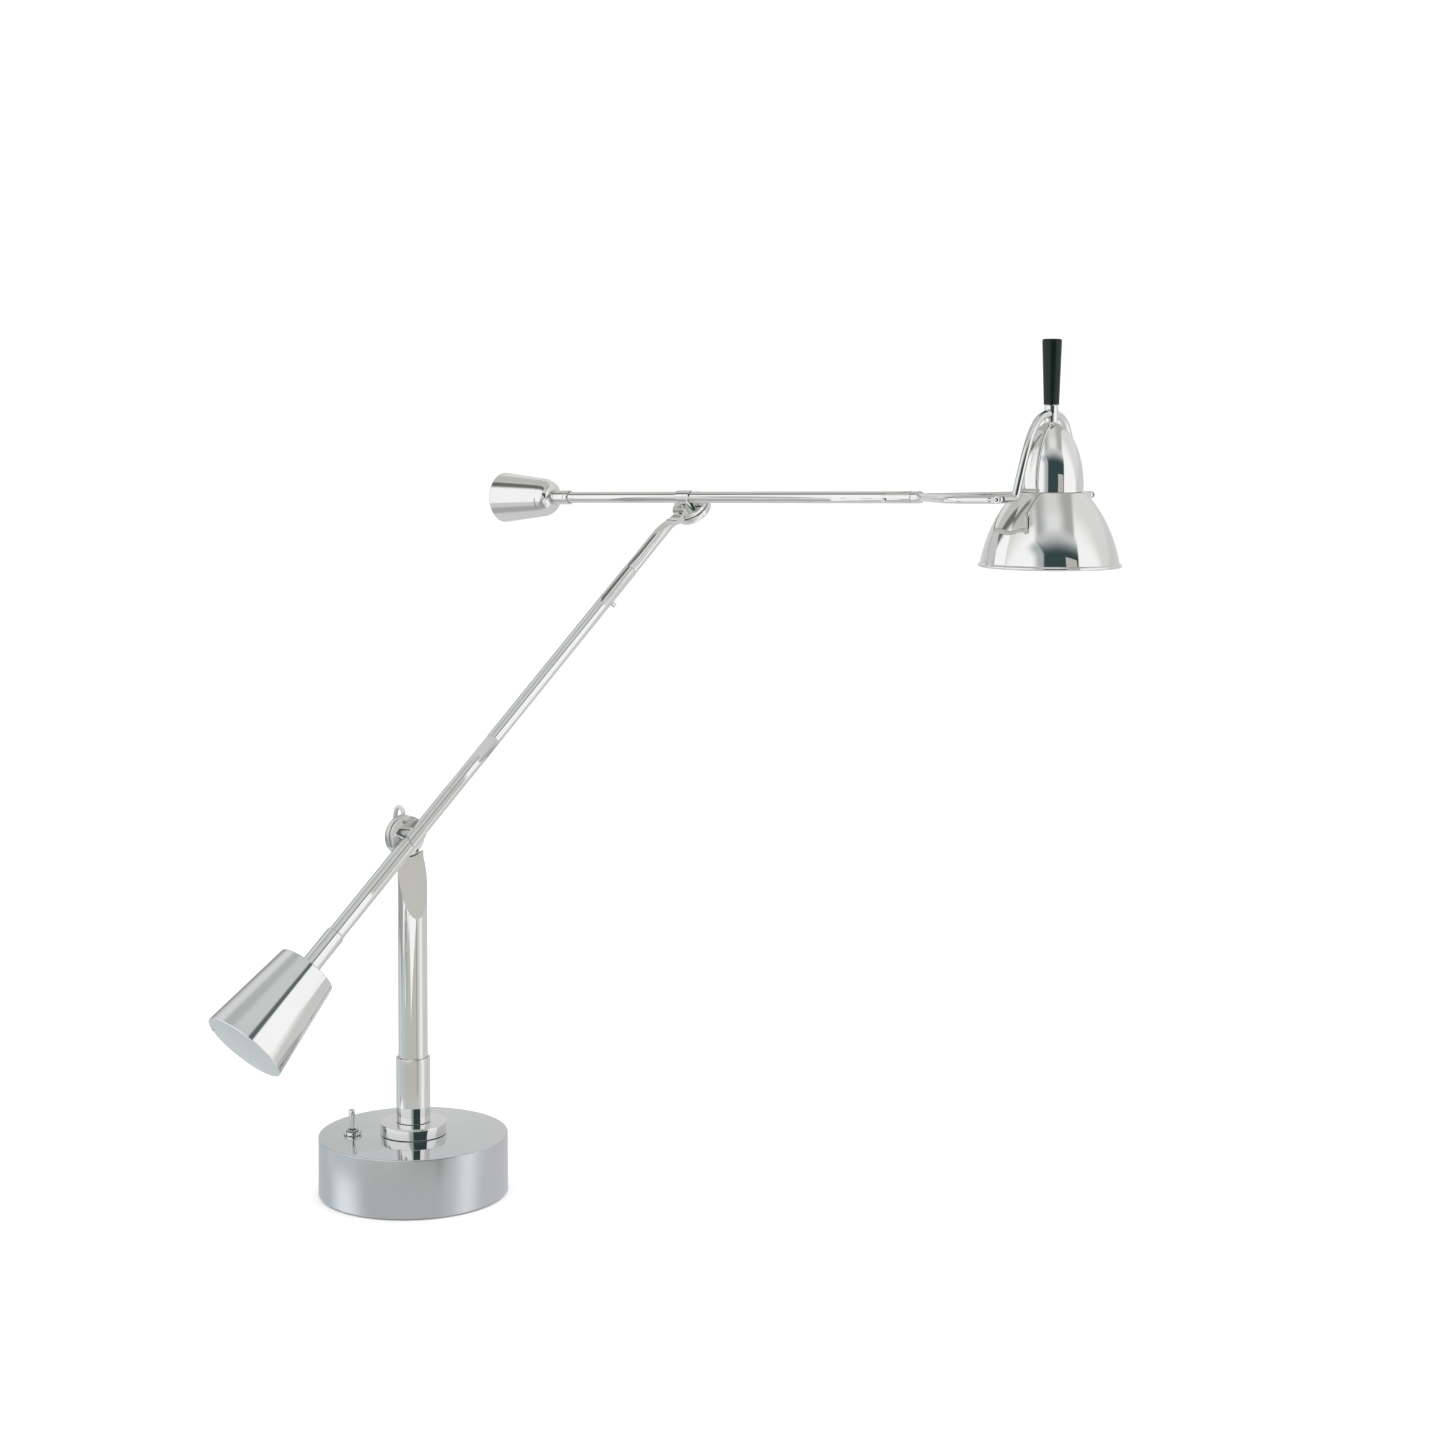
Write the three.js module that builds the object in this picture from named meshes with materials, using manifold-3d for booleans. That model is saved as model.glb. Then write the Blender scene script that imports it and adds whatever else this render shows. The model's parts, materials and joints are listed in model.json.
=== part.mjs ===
// Counterweighted two-arm desk lamp, millimetres, +Z up.
// Origin: centre of the underside of the base. The front of the lamp looks along -Y.
import * as THREE from 'three';
import { mergeVertices } from 'three/addons/utils/BufferGeometryUtils.js';
import Module from 'manifold-3d';

const wasm = await Module();
wasm.setup();

// ---------------------------------------------------------------- driving dimensions
const GAP = 0.3;              // clearance between touching pieces
const WIDE_ROUND = 36;        // sides of the widest round pieces
const ROUND = 24;             // sides of a rod or tube
const SMALL_ROUND = 10;       // sides of a small round piece
const OVER = 1;               // how far a cut or a join runs past a face
const BEVEL = 0.6;            // width of a bevel over its height
const WALL_STEPS = 7;         // straight steps along a curved wall
const EDGE_STEPS = 4;         // straight steps round a domed edge

// Rest pose, degrees
const POST_YAW = 43;          // direction of the lower arm seen from above
const LOWER_LEAN = 48.2;      // lower arm, away from upright
const ELBOW_ROLL = -84.4;     // elbow axis, turned about the lower arm
const ELBOW_ANGLE = 81.6;     // upper arm, away from the line of the lower arm
const FORK_ROLL = 47.9;       // fork, turned about the upper arm
const HEAD_TILT = 1.4;        // shade, turned about the fork's pivots
const LEVER_TILT = 12;        // switch lever, away from upright

// Base
const BASE_D = 160;
const BASE_TOP = 50;          // height of the top face
const BASE_EDGE = 0.8;        // edge radius of the shell
const SHELL_WALL = 3;
const SHELL_ROOF = 4;
const SHELL_FOOT = 0.8;       // rim of the shell above the surface
const FELT_T = 1.4;
const FELT_INSET = 5;         // felt in from the base's edge
const PLATE_T = 2.5;
const BALLAST_GAP = 3;        // ballast clear of the shell's wall
const POCKET_MARGIN = 2;      // room round the switch and the nut
const PLATE_SCREWS = 3;
const PLATE_SCREW_INSET = 20; // ring of screws in from the base's edge
const SCREW_SHANK_D = 4;
const SCREW_HEAD_D = 7;
const SCREW_HEAD_T = 1.6;
const SCREW_LENGTH = 12;
const GLAND_Z = 18;
const GLAND_D = 8;
const GLAND_FLANGE_D = 12;
const GLAND_FLANGE_T = 2;
const GLAND_BORE = 5;
const GLAND_LENGTH = 9;

// Toggle switch
const SWITCH_INSET = 29;      // switch in from the base's edge
const SWITCH_Y = -6;
const SWITCH_BODY = 13;
const SWITCH_BODY_H = 12;
const BUSHING_D = 11;
const BUSHING_TOP = 4.4;      // bushing above the base top
const BUSHING_BORE = 6.4;
const BUSHING_DEPTH = 8;      // depth of its bore
const DRESS_NUT_D = 15;
const DRESS_NUT_T = 3;
const NUT_NOTCHES = 6;
const NOTCH_D = 2.6;
const DRESS_NUT_EDGE = 0.6;
const LEVER_LENGTH = 19;
const LEVER_ROOT_D = 3.4;
const LEVER_TIP_D = 6;
const LEVER_BALL_D = 5;
const LEVER_PIVOT_DEPTH = 3;  // pivot below the rim of the bushing

// Post
const COLLAR_D = 56;
const COLLAR_T = 10;
const COLLAR_EDGE = 0.6;
const STUD_D = 12;
const STUD_BORE = 7;
const STUD_BOTTOM = 14;
const STEM_NUT_D = 22;
const STEM_NUT_T = 7;
const SLEEVE_D = 29;
const SLEEVE_TOP = 116;
const SLEEVE_FLOOR = 6;
const SLEEVE_CHAMFER = 1;
const BUSH_T = 1.5;
const POST_D = 25;
const POST_BORE = 9;
const GROOVE_Z = 90;          // retaining groove of the post
const GROOVE_W = 5;
const GROOVE_DEPTH = 1.2;
const GRUB_D = 3.4;
const PIVOT_Z = 303.5;        // height of the shoulder axis

// Disc joints, shared by the shoulder and the elbow
const DISC_D = 34.5;
const DISC_EDGE = 0.7;
const FRONT_DISC_T = 4;
const REAR_DISC_T = 6;
const WASHER_T = 0.4;
const WASHER_D = 30;
const PIVOT_STUD_D = 9;
const PIVOT_STUD_BORE = 4.8;
const PIVOT_NUT_AF = 14;
const PIVOT_NUT_T = 3;
const PIVOT_STUD_SEAT = 1.4;  // floor left under the stud in the front disc
const BOSS_D = 16.4;
const BOSS_WALL = 1;          // metal round the arm in the boss
const SCREW_SIDES = 10;
const DISC_SCREW_D = 3;
const DISC_SCREW_T = 1;
const DISC_SCREW_SHANK = 1.8;
const DISC_SCREW_DEPTH = 2;
const DISC_SCREW_R = 13;
const SHOULDER_SCREW_ANGLES = [-66, 50];
const ELBOW_SCREW_ANGLES = [105];
const SHOULDER_FACE = 4.9;    // face of the front disc behind the post axis
const SHOULDER_ARM = 7.5;     // lower arm axis in front of that face
const SHOULDER_FLAT = 4.6;    // end of the slanted flat behind the post axis
const SHOULDER_FLAT_LENGTH = 50;
const SHOULDER_FLAT_TURN = -17; // degrees, towards the lower weight's side
const ELBOW_FACE = 4.5;
const ELBOW_ARM = 8;
const ELBOW_FLAT = 2.6;
const ELBOW_FLAT_LENGTH = 34;
const ELBOW_FLAT_TURN = 0;
const CRANK_LENGTH = 28;      // cranked neck of the lower arm's end fitting

// Shoulder cable
const CABLE_D = 4;
const CABLE_SIDES = 8;
const CABLE_STEPS = 24;
const CABLE_HOLE_DEPTH = 7;
const CABLE_LOOP_W = 11.5;    // loop behind its hole
const CABLE_LOOP_H = 6.2;     // and above the disc

// Lower arm, stations along the arm from the shoulder axis
const LOWER_TUBE_D = 12.4;
const TUBE_WALL = 1.5;
const ELBOW_STATION = 416;
const END_JOINT_STATION = 323.5; // where the end fitting turns in the tube
const END_D = 11.8;
const SPIGOT_LENGTH = 40;
const THICK_SLEEVE_D = 14.2;
const THICK_SLEEVE_EDGE = 0.5;
const NECK_TOP = -106.5;
const NECK_D = 16.5;
const NECK_CHAMFER = 1.2;
const LOWER_WEIGHT_TOP = -144.5;
const LOWER_WEIGHT_LENGTH = 81.5;
const LOWER_WEIGHT_D1 = 52;
const LOWER_WEIGHT_D2 = 72.6;
const WEIGHT_EDGE = 0.8;
const WEIGHT_SEAT = 30;       // depth of the tube in the lower weight
const SCREW_SIDE = -110;      // degrees about the arm, from the rear to the screws' side
const SET_SCREW_STATION = 287;
const SET_SCREW_D = 3;
const SET_SCREW_HEAD = 4;
const SET_SCREW_PROUD = 3.6;
const STOP_PIN_STATION = 334;
const STOP_PIN_PROUD = 1;

// Upper arm, stations along the arm from the elbow axis, the head at the positive end
const UPPER_TUBE_D = 10.8;
const UPPER_WALL = 1.2;
const HEAD_STATION = 381.5;   // axis of the shade
const SOCKET_STATION = 247.5; // where the fork turns in the tube
const SOCKET_LENGTH = 6;
const FORK_SPIGOT = 30;
const UPPER_SCREW_STATION = 220.5;
const UPPER_SCREW_PROUD = 1.6;
const UPPER_NECK_TOP = -138.5;
const UPPER_NECK_D = 13.6;
const UPPER_NECK_EDGE = 0.4;
const UPPER_NECK_GROOVE = 4;    // groove below the neck's end
const NECK_GROOVE_DEPTH = 0.5;
const NECK_GROOVE_HALF = 0.4;
const UPPER_WEIGHT_TOP = -169.5;
const UPPER_WEIGHT_LENGTH = 51.5;
const UPPER_WEIGHT_D1 = 36;
const UPPER_WEIGHT_D2 = 48.4;
const SHOULDER_CONE = 11;     // domed shoulder at the weight's narrow end
const UPPER_WEIGHT_SEAT = 20;

// Fork and bow
const FORK_ROD_D = 6.8;
const FORK_HALF = 75;         // half width between the prongs' centres
const FORK_SHOULDER = 327.5;  // station where the spreading prongs turn straight
const FORK_BEND = 18;         // length of that bend on either side of it
const PRONG_STEPS = 20;
const KNUCKLE_REACH = 4.5;    // pivots short of the shade axis
const LEG_HALF = 50;          // half width between the bow's feet
const PIN_D = 4.2;
const PIN_SEAT = 12;          // depth of a pin in the bow's foot
const PIN_HEAD_D = 5.8;
const PIN_HEAD_T = 0.8;
const BOW_HEIGHT = 69.2;
const BOW_LEG_Y = 35;         // the bow's legs head for this point
const BOW_LEG_Z = 46;
const BOW_CROWN = 31;         // half width of the bow's flat crown
const BRIDGE_D = 1.8;         // little cable from the front prong to its hollow pin
const BRIDGE_STEPS = 16;
const BRIDGE_OUT = 2.4;       // its top, outside the pin's head
const BRIDGE_REACH = 7;       // its hole in the prong, before the pivot
const BRIDGE_DEPTH = 2;       // how far its ends reach in
const BRIDGE_TURN = 1.8;      // length of its bends
const BOW_STEPS = 28;

// Head
const FERRULE_D = 11.5;
const FERRULE_L = 13.7;
const FERRULE_EDGE = 0.8;
const HEAD_STUD_D = 3;
const HEAD_STUD_UP = 14;      // stud in the handle
const HANDLE_L = 54.3;
const HANDLE_D1 = 12.8;
const HANDLE_D2 = 16.5;
const HANDLE_EDGE = 2;
const DOME_TOP = 62;          // above the plane of the fork
const DOME_H = 57.3;
const DOME_D = 54.6;
const DOME_NECK_D = 14;
const DOME_CURVE_H = 52;      // height of the dome's round part
const DOME_CAP_STEP = 1;      // bevel round the dome's flat top
const DOME_ROOF = 1.8;        // thickness of that top
const SHEET_T = 1.2;          // sheet metal of the shade
const BELL_TOP_D = 58;
const BELL_H = 62;
const BELL_D = 116;
const BELL_SHOULDER_D = 102;  // the bell's curve heads for this ring
const BELL_SHOULDER_H = 23;   // below the bell's top
const BELL_HOLE_D = 46;
const LIP_D = 3;
const LIP_SIDES = 6;
const HOLDER_D = 28;
const HOLDER_TOP = 10;        // holder below the dome's top
const HOLDER_L = 42;
const HOLDER_ROOF = 10;
const HOLDER_EDGE = 1;
const BULB_D = 42;
const BULB_CAP_D = 16;
const BULB_CAP_L = 26;
const BULB_L = 56;            // glass
const BULB_ROUND_ANGLE = 31.5; // above the middle, where the glass starts to narrow
const BULB_STEPS = 8;

// ---------------------------------------------------------------- values that follow
const DEG = Math.PI / 180;
const QUARTER = Math.PI / 2;
const PLATE_BOTTOM = FELT_T + GAP;
const BALLAST_BOTTOM = PLATE_BOTTOM + PLATE_T + GAP;
const SHELL_BORE = BASE_D / 2 - SHELL_WALL;
const BALLAST_D = 2 * (SHELL_BORE - BALLAST_GAP);
const FELT_D = BASE_D - 2 * FELT_INSET;
const PLATE_SCREW_R = BASE_D / 2 - PLATE_SCREW_INSET;
const SWITCH_X = SWITCH_INSET - BASE_D / 2;
const COLLAR_BOTTOM = BASE_TOP + GAP;
const SLEEVE_BOTTOM = COLLAR_BOTTOM + COLLAR_T + GAP;
const SLEEVE_BORE = POST_D / 2 + GAP;
const POST_BOTTOM = SLEEVE_BOTTOM + SLEEVE_FLOOR + GAP + BUSH_T + GAP;
const DISC_GAP = WASHER_T + 2 * GAP;
const DISC_CLEAR = DISC_D / 2 + 2 * GAP;
const LOWER_BORE = LOWER_TUBE_D / 2 - TUBE_WALL;
const UPPER_BORE = UPPER_TUBE_D / 2 - UPPER_WALL;
const KNUCKLE_STATION = HEAD_STATION - KNUCKLE_REACH;
const FORK_ROOT = SOCKET_STATION + SOCKET_LENGTH;
const PRONG_FACE = FORK_HALF + FORK_ROD_D / 2;
const FOOT_END = FORK_HALF - FORK_ROD_D / 2 - GAP;
const LOWER_WEIGHT_END = LOWER_WEIGHT_TOP - LOWER_WEIGHT_LENGTH;
const UPPER_WEIGHT_END = UPPER_WEIGHT_TOP - UPPER_WEIGHT_LENGTH;

// ---------------------------------------------------------------- materials
const finish = (color, roughness, metalness) =>
  new THREE.MeshStandardMaterial({ color, roughness, metalness });
const NICKEL = [0xd9dad6, 0.08, 1];
const SATIN = [0xb9babc, 0.32, 1];
const STEEL = [0x9a9b9d, 0.4, 1];
const IRON = [0x4a4a4c, 0.7, 0.6];
const BLACK = [0x10201c, 0.35, 0];
const FIBRE = [0x3a3330, 0.8, 0];
const CABLE = [0xa9a9a9, 0.55, 0];
const FELT = [0x24302a, 0.95, 0];
const CERAMIC = [0xe8e4dc, 0.3, 0];
const GLASS = [0xf4f1e8, 0.2, 0];

// ---------------------------------------------------------------- shape helpers
// A closed solid of a geometry, ready to be joined and cut.
function solid(geometry) {
  const bare = geometry.clone();
  bare.deleteAttribute('normal');
  bare.deleteAttribute('uv');
  const merged = mergeVertices(bare, 1e-4);
  const corners = merged.index.array;
  const kept = [];
  for (let i = 0; i < corners.length; i += 3) {
    const [a, b, c] = corners.slice(i, i + 3);
    if (a !== b && b !== c && c !== a) kept.push(a, b, c);
  }
  return new wasm.Manifold(new wasm.Mesh({
    numProp: 3,
    vertProperties: new Float32Array(merged.attributes.position.array),
    triVerts: new Uint32Array(kept),
  }));
}

// A named mesh of a solid.
function piece(name, body, look) {
  const { vertProperties, triVerts, numProp } = body.getMesh();
  const points = [];
  for (let i = 0; i < vertProperties.length; i += numProp) {
    points.push(vertProperties[i], vertProperties[i + 1], vertProperties[i + 2]);
  }
  const geometry = new THREE.BufferGeometry();
  geometry.setAttribute('position', new THREE.Float32BufferAttribute(points, 3));
  geometry.setIndex(Array.from(triVerts));
  geometry.computeVertexNormals();
  const mesh = new THREE.Mesh(geometry, finish(...look));
  mesh.name = name;
  return mesh;
}

// A turned solid about Z. The profile holds [radius, height] pairs, anticlockwise.
function turned(profile, sides = ROUND) {
  const points = profile.map(([radius, height]) => new THREE.Vector2(radius, height));
  return new THREE.LatheGeometry(points, sides).rotateX(QUARTER);
}

// A rod along Z.
function rod(diameter, from, to, sides = ROUND) {
  const shape = new THREE.CylinderGeometry(diameter / 2, diameter / 2, to - from, sides);
  return shape.rotateX(QUARTER).translate(0, 0, (from + to) / 2);
}

// A rod along Y.
function rodY(diameter, from, to, sides = ROUND) {
  return rod(diameter, from, to, sides).rotateX(-QUARTER);
}

// A rod between two points.
function rodBetween(diameter, start, end, sides = SMALL_ROUND) {
  const reach = end.clone().sub(start);
  const turn = new THREE.Quaternion().setFromUnitVectors(
    new THREE.Vector3(0, 0, 1), reach.clone().normalize());
  return rod(diameter, 0, reach.length(), sides).applyQuaternion(turn)
    .translate(start.x, start.y, start.z);
}

// A ball that rounds the corner where two rods meet.
function ball(diameter, centre) {
  return new THREE.SphereGeometry(diameter / 2, SMALL_ROUND, SMALL_ROUND / 2)
    .translate(centre.x, centre.y, centre.z);
}

// A tube wall along Z, open at both ends.
function pipe(diameter, bore, from, to, chamfer = 0, sides = ROUND) {
  const outer = diameter / 2;
  const rim = chamfer > 0 ? [[outer, to - chamfer], [outer - chamfer * BEVEL, to]] : [[outer, to]];
  return turned([[bore / 2, from], [outer, from], ...rim, [bore / 2, to], [bore / 2, from]], sides);
}

// A six-sided nut along the axis of the given kind of bar, with a clearance bore.
function hexNut(acrossFlats, bore, from, to, bar) {
  const corners = acrossFlats / Math.cos(Math.PI / 6);
  return solid(bar(corners, from, to, 6)).subtract(solid(bar(bore, from - OVER, to + OVER)));
}

// A flat prism: an outline of [y, z] pairs, extruded across X.
function prismX(outline, width) {
  const shape = new THREE.Shape(outline.map(([y, z]) => new THREE.Vector2(y, z)));
  const block = new THREE.ExtrudeGeometry(shape, { depth: width, bevelEnabled: false });
  return block.translate(0, 0, -width / 2).rotateY(QUARTER).rotateX(QUARTER);
}

// A rod of the given diameter along a curve.
function bentRod(diameter, curve, steps, sides) {
  const section = new THREE.Shape();
  section.absarc(0, 0, diameter / 2, 0, 2 * Math.PI, false);
  return new THREE.ExtrudeGeometry(section, {
    steps, extrudePath: curve, curveSegments: sides / 2, bevelEnabled: false,
  });
}

const joinAll = (solids) => solids.reduce((whole, next) => whole.add(next));
const cutAll = (body, solids) => solids.reduce((whole, next) => whole.subtract(next), body);

// ---------------------------------------------------------------- base
function switchPlace(geometry) {
  return geometry.translate(SWITCH_X, SWITCH_Y, 0);
}

function screwPlaces() {
  const places = [];
  for (let i = 0; i < PLATE_SCREWS; i += 1) {
    const angle = QUARTER + (i * 2 * Math.PI) / PLATE_SCREWS;
    places.push([PLATE_SCREW_R * Math.cos(angle), PLATE_SCREW_R * Math.sin(angle)]);
  }
  return places;
}

function screwHoles() {
  return screwPlaces().map(([x, y]) => {
    const clear = 2 * GAP;
    const head = rod(SCREW_HEAD_D + clear, 0, PLATE_BOTTOM + SCREW_HEAD_T + GAP, SMALL_ROUND);
    const shank = rod(SCREW_SHANK_D + clear, 0, PLATE_BOTTOM + SCREW_LENGTH + GAP, SMALL_ROUND);
    return solid(head.translate(x, y, 0)).add(solid(shank.translate(x, y, 0)));
  });
}

function baseShell() {
  const outer = BASE_D / 2;
  const edge = BASE_EDGE;
  const roof = BASE_TOP - SHELL_ROOF;
  const bushingHole = rod(BUSHING_D + 2 * GAP, roof - OVER, BASE_TOP + OVER, SMALL_ROUND);
  const glandHole = rodY(GLAND_D + 2 * GAP, SHELL_BORE - OVER, outer + OVER, SMALL_ROUND);
  const shell = solid(turned([
    [0, roof], [SHELL_BORE, roof], [SHELL_BORE, SHELL_FOOT],
    [outer - edge, SHELL_FOOT], [outer, SHELL_FOOT + edge], [outer, BASE_TOP - edge],
    [outer - edge, BASE_TOP], [0, BASE_TOP],
  ], WIDE_ROUND));
  return cutAll(shell, [
    solid(rod(STUD_D + 2 * GAP, SHELL_FOOT, BASE_TOP + OVER)),
    solid(switchPlace(bushingHole)), solid(glandHole.translate(0, 0, GLAND_Z)),
  ]);
}

function baseBallast() {
  const top = BASE_TOP - SHELL_ROOF - GAP;
  const pocket = SWITCH_BODY + 2 * POCKET_MARGIN;
  const pocketDepth = SWITCH_BODY_H + POCKET_MARGIN;
  const disc = solid(rod(BALLAST_D, BALLAST_BOTTOM, top, ROUND));
  const glandSlot = new THREE.BoxGeometry(GLAND_FLANGE_D, 2 * GLAND_LENGTH, 2 * GLAND_D)
    .translate(0, BALLAST_D / 2, GLAND_Z);
  const switchPocket = new THREE.BoxGeometry(pocket, pocket, 2 * pocketDepth).translate(0, 0, top);
  return cutAll(disc, [
    solid(rod(STUD_D + 2 * GAP, 0, top + OVER)),
    solid(rod(STEM_NUT_D + 2 * POCKET_MARGIN, 0, STUD_BOTTOM + STEM_NUT_T + GAP)),
    solid(switchPlace(switchPocket)),
    solid(glandSlot),
    ...screwHoles(),
  ]);
}

function basePlate() {
  const plate = rod(2 * (SHELL_BORE - GAP), PLATE_BOTTOM, PLATE_BOTTOM + PLATE_T, ROUND);
  return cutAll(solid(plate), screwHoles());
}

function plateScrew([x, y]) {
  const head = rod(SCREW_HEAD_D, PLATE_BOTTOM, PLATE_BOTTOM + SCREW_HEAD_T, SMALL_ROUND);
  const shank = rod(SCREW_SHANK_D, PLATE_BOTTOM, PLATE_BOTTOM + SCREW_LENGTH, SMALL_ROUND);
  return solid(head.translate(x, y, 0)).add(solid(shank.translate(x, y, 0)));
}

function cableGland() {
  const face = BASE_D / 2 + GAP;
  const rim = face + GLAND_FLANGE_T;
  const bar = (diameter, from, to) => solid(
    rodY(diameter, from, to, SMALL_ROUND).translate(0, 0, GLAND_Z));
  return bar(GLAND_D, face - GLAND_LENGTH, face + OVER).add(bar(GLAND_FLANGE_D, face, rim))
    .subtract(bar(GLAND_BORE, face - GLAND_LENGTH - OVER, rim + OVER));
}

function switchBody() {
  const roof = BASE_TOP - SHELL_ROOF - GAP;
  const block = new THREE.BoxGeometry(SWITCH_BODY, SWITCH_BODY, SWITCH_BODY_H)
    .translate(0, 0, roof - SWITCH_BODY_H / 2);
  const rim = BASE_TOP + BUSHING_TOP;
  return solid(block).add(solid(rod(BUSHING_D, roof - OVER, rim, SMALL_ROUND)))
    .subtract(solid(rod(BUSHING_BORE, rim - BUSHING_DEPTH, rim + OVER, SMALL_ROUND)));
}

function switchNut() {
  const from = BASE_TOP + GAP;
  const to = from + DRESS_NUT_T;
  const ring = solid(pipe(DRESS_NUT_D, BUSHING_D + 2 * GAP, from, to, DRESS_NUT_EDGE));
  const notches = [];
  for (let i = 0; i < NUT_NOTCHES; i += 1) {
    const notch = rod(NOTCH_D, from - OVER, to + OVER, SMALL_ROUND)
      .translate(DRESS_NUT_D / 2, 0, 0).rotateZ((i * 2 * Math.PI) / NUT_NOTCHES);
    notches.push(solid(notch));
  }
  return cutAll(ring, notches);
}

// Profile points of a ball about the axis, from one angle up to another.
function roundEnd(radius, middle, from, to) {
  const points = [];
  for (let i = 0; i <= EDGE_STEPS; i += 1) {
    const angle = from + (i / EDGE_STEPS) * (to - from);
    const onAxis = Math.abs(Math.abs(angle) - QUARTER) < DEG;
    points.push([onAxis ? 0 : radius * Math.cos(angle), middle + radius * Math.sin(angle)]);
  }
  return points;
}

// The bat lever stands on its pivot ball at the origin.
function switchLever() {
  const reach = LEVER_LENGTH + LEVER_PIVOT_DEPTH;
  const tip = LEVER_TIP_D / 2;
  const root = LEVER_ROOT_D / 2;
  const foot = LEVER_BALL_D / 2;
  return solid(turned([
    ...roundEnd(foot, 0, -QUARTER, 0), [root, foot], ...roundEnd(tip, reach - tip, 0, QUARTER),
  ], SMALL_ROUND));
}

// ---------------------------------------------------------------- post
function collar() {
  return solid(pipe(COLLAR_D, STUD_D + 2 * GAP, COLLAR_BOTTOM, COLLAR_BOTTOM + COLLAR_T,
    COLLAR_EDGE, WIDE_ROUND));
}

function postSleeve() {
  const outer = SLEEVE_D / 2;
  const floor = SLEEVE_BOTTOM + SLEEVE_FLOOR;
  const body = solid(turned([
    [STUD_BORE / 2, STUD_BOTTOM], [STUD_D / 2, STUD_BOTTOM], [STUD_D / 2, SLEEVE_BOTTOM],
    [outer, SLEEVE_BOTTOM], [outer, SLEEVE_TOP - SLEEVE_CHAMFER],
    [outer - SLEEVE_CHAMFER, SLEEVE_TOP], [SLEEVE_BORE, SLEEVE_TOP], [SLEEVE_BORE, floor],
    [STUD_BORE / 2, floor], [STUD_BORE / 2, STUD_BOTTOM],
  ]));
  const hole = rodY(GRUB_D + 2 * GAP, POST_D / 2 - OVER, outer + OVER, SMALL_ROUND);
  return body.subtract(solid(hole.translate(0, 0, GROOVE_Z)));
}

function grubScrew() {
  const tip = POST_D / 2 - GROOVE_DEPTH + GAP;
  return solid(rodY(GRUB_D, tip, SLEEVE_D / 2 - GAP, SMALL_ROUND).translate(0, 0, GROOVE_Z));
}

function stemNut() {
  return hexNut(STEM_NUT_D, STUD_D + 2 * GAP, STUD_BOTTOM, STUD_BOTTOM + STEM_NUT_T, rod);
}

function swivelBush() {
  const from = SLEEVE_BOTTOM + SLEEVE_FLOOR + GAP;
  return solid(pipe(POST_D, POST_BORE, from, from + BUSH_T));
}

function post() {
  const outer = POST_D / 2;
  const bore = POST_BORE / 2;
  const groove = [GROOVE_Z - GROOVE_W / 2, GROOVE_Z + GROOVE_W / 2];
  const top = PIVOT_Z - DISC_CLEAR - SHOULDER_FLAT_LENGTH;
  const stem = solid(turned([
    [bore, POST_BOTTOM], [outer, POST_BOTTOM], [outer, groove[0]],
    [outer - GROOVE_DEPTH, groove[0]], [outer - GROOVE_DEPTH, groove[1]], [outer, groove[1]],
    [outer, PIVOT_Z], [0, PIVOT_Z], [0, top], [bore, top], [bore, POST_BOTTOM],
  ]));
  const flat = [SHOULDER_FLAT, SHOULDER_FLAT_LENGTH, SHOULDER_FLAT_TURN];
  return carrierEnd(stem, PIVOT_Z, POST_D, SHOULDER_FACE, ...flat)
    .subtract(cableHole());
}

// ---------------------------------------------------------------- disc joints
// Each joint lies across Y: the carried arm in front (-Y), the carrier's disc behind (+Y).

function disc(from, thickness) {
  const outer = DISC_D / 2;
  const edge = DISC_EDGE;
  return turned([
    [0, 0], [outer - edge, 0], [outer, edge], [outer, thickness - edge],
    [outer - edge, thickness], [0, thickness],
  ], ROUND).rotateX(-QUARTER).translate(0, from, 0);
}

// The carrier's stem gets a slanted flat, room for the front disc, and its own disc.
function carrierEnd(stem, pivot, stemD, face, flat, flatLength, flatTurn) {
  const front = -stemD / 2;
  const flatTop = pivot - DISC_CLEAR;
  const slope = flatLength / (flat - front);
  const past = 3 * OVER;
  const slant = prismX([
    [front - past, flatTop - flatLength - slope * past], [flat, flatTop],
    [flat, pivot + past], [front - past, pivot + past],
  ], stemD + 2 * past).rotateZ(flatTurn * DEG);
  const rear = face + FRONT_DISC_T + DISC_GAP;
  const room = rodY(2 * DISC_CLEAR, front - past, rear, ROUND).translate(0, 0, pivot);
  const bore = rodY(PIVOT_STUD_D + 2 * GAP, rear - past, rear + REAR_DISC_T + past, SMALL_ROUND);
  return cutAll(stem, [solid(slant), solid(room)])
    .add(solid(disc(rear, REAR_DISC_T).translate(0, 0, pivot)))
    .subtract(solid(bore.translate(0, 0, pivot)));
}

// Disc, boss and saddle that carry an arm. The arm's axis is Z through the origin.
function armMount(armD, toFace, screwAngles) {
  const saddle = solid(rod(armD + 2 * GAP + 2 * BOSS_WALL, -BOSS_D, BOSS_D))
    .intersect(solid(rodY(BOSS_D, -armD, toFace)));
  const boss = solid(rodY(BOSS_D, 0, toFace + FRONT_DISC_T / 2));
  const seat = rodY(PIVOT_STUD_D + 2 * GAP, toFace + PIVOT_STUD_SEAT, toFace + 2 * FRONT_DISC_T,
    SMALL_ROUND);
  const hole = () => rodY(DISC_SCREW_SHANK + 2 * GAP, -OVER, DISC_SCREW_DEPTH + GAP, SCREW_SIDES);
  const holes = screwAngles.map((angle) => solid(discScrewPlace(hole(), toFace, angle)));
  return cutAll(joinAll([solid(disc(toFace, FRONT_DISC_T)), boss, saddle]), [
    solid(rod(armD + 2 * GAP, -DISC_D, DISC_D)), solid(seat), ...holes,
  ]);
}

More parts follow.
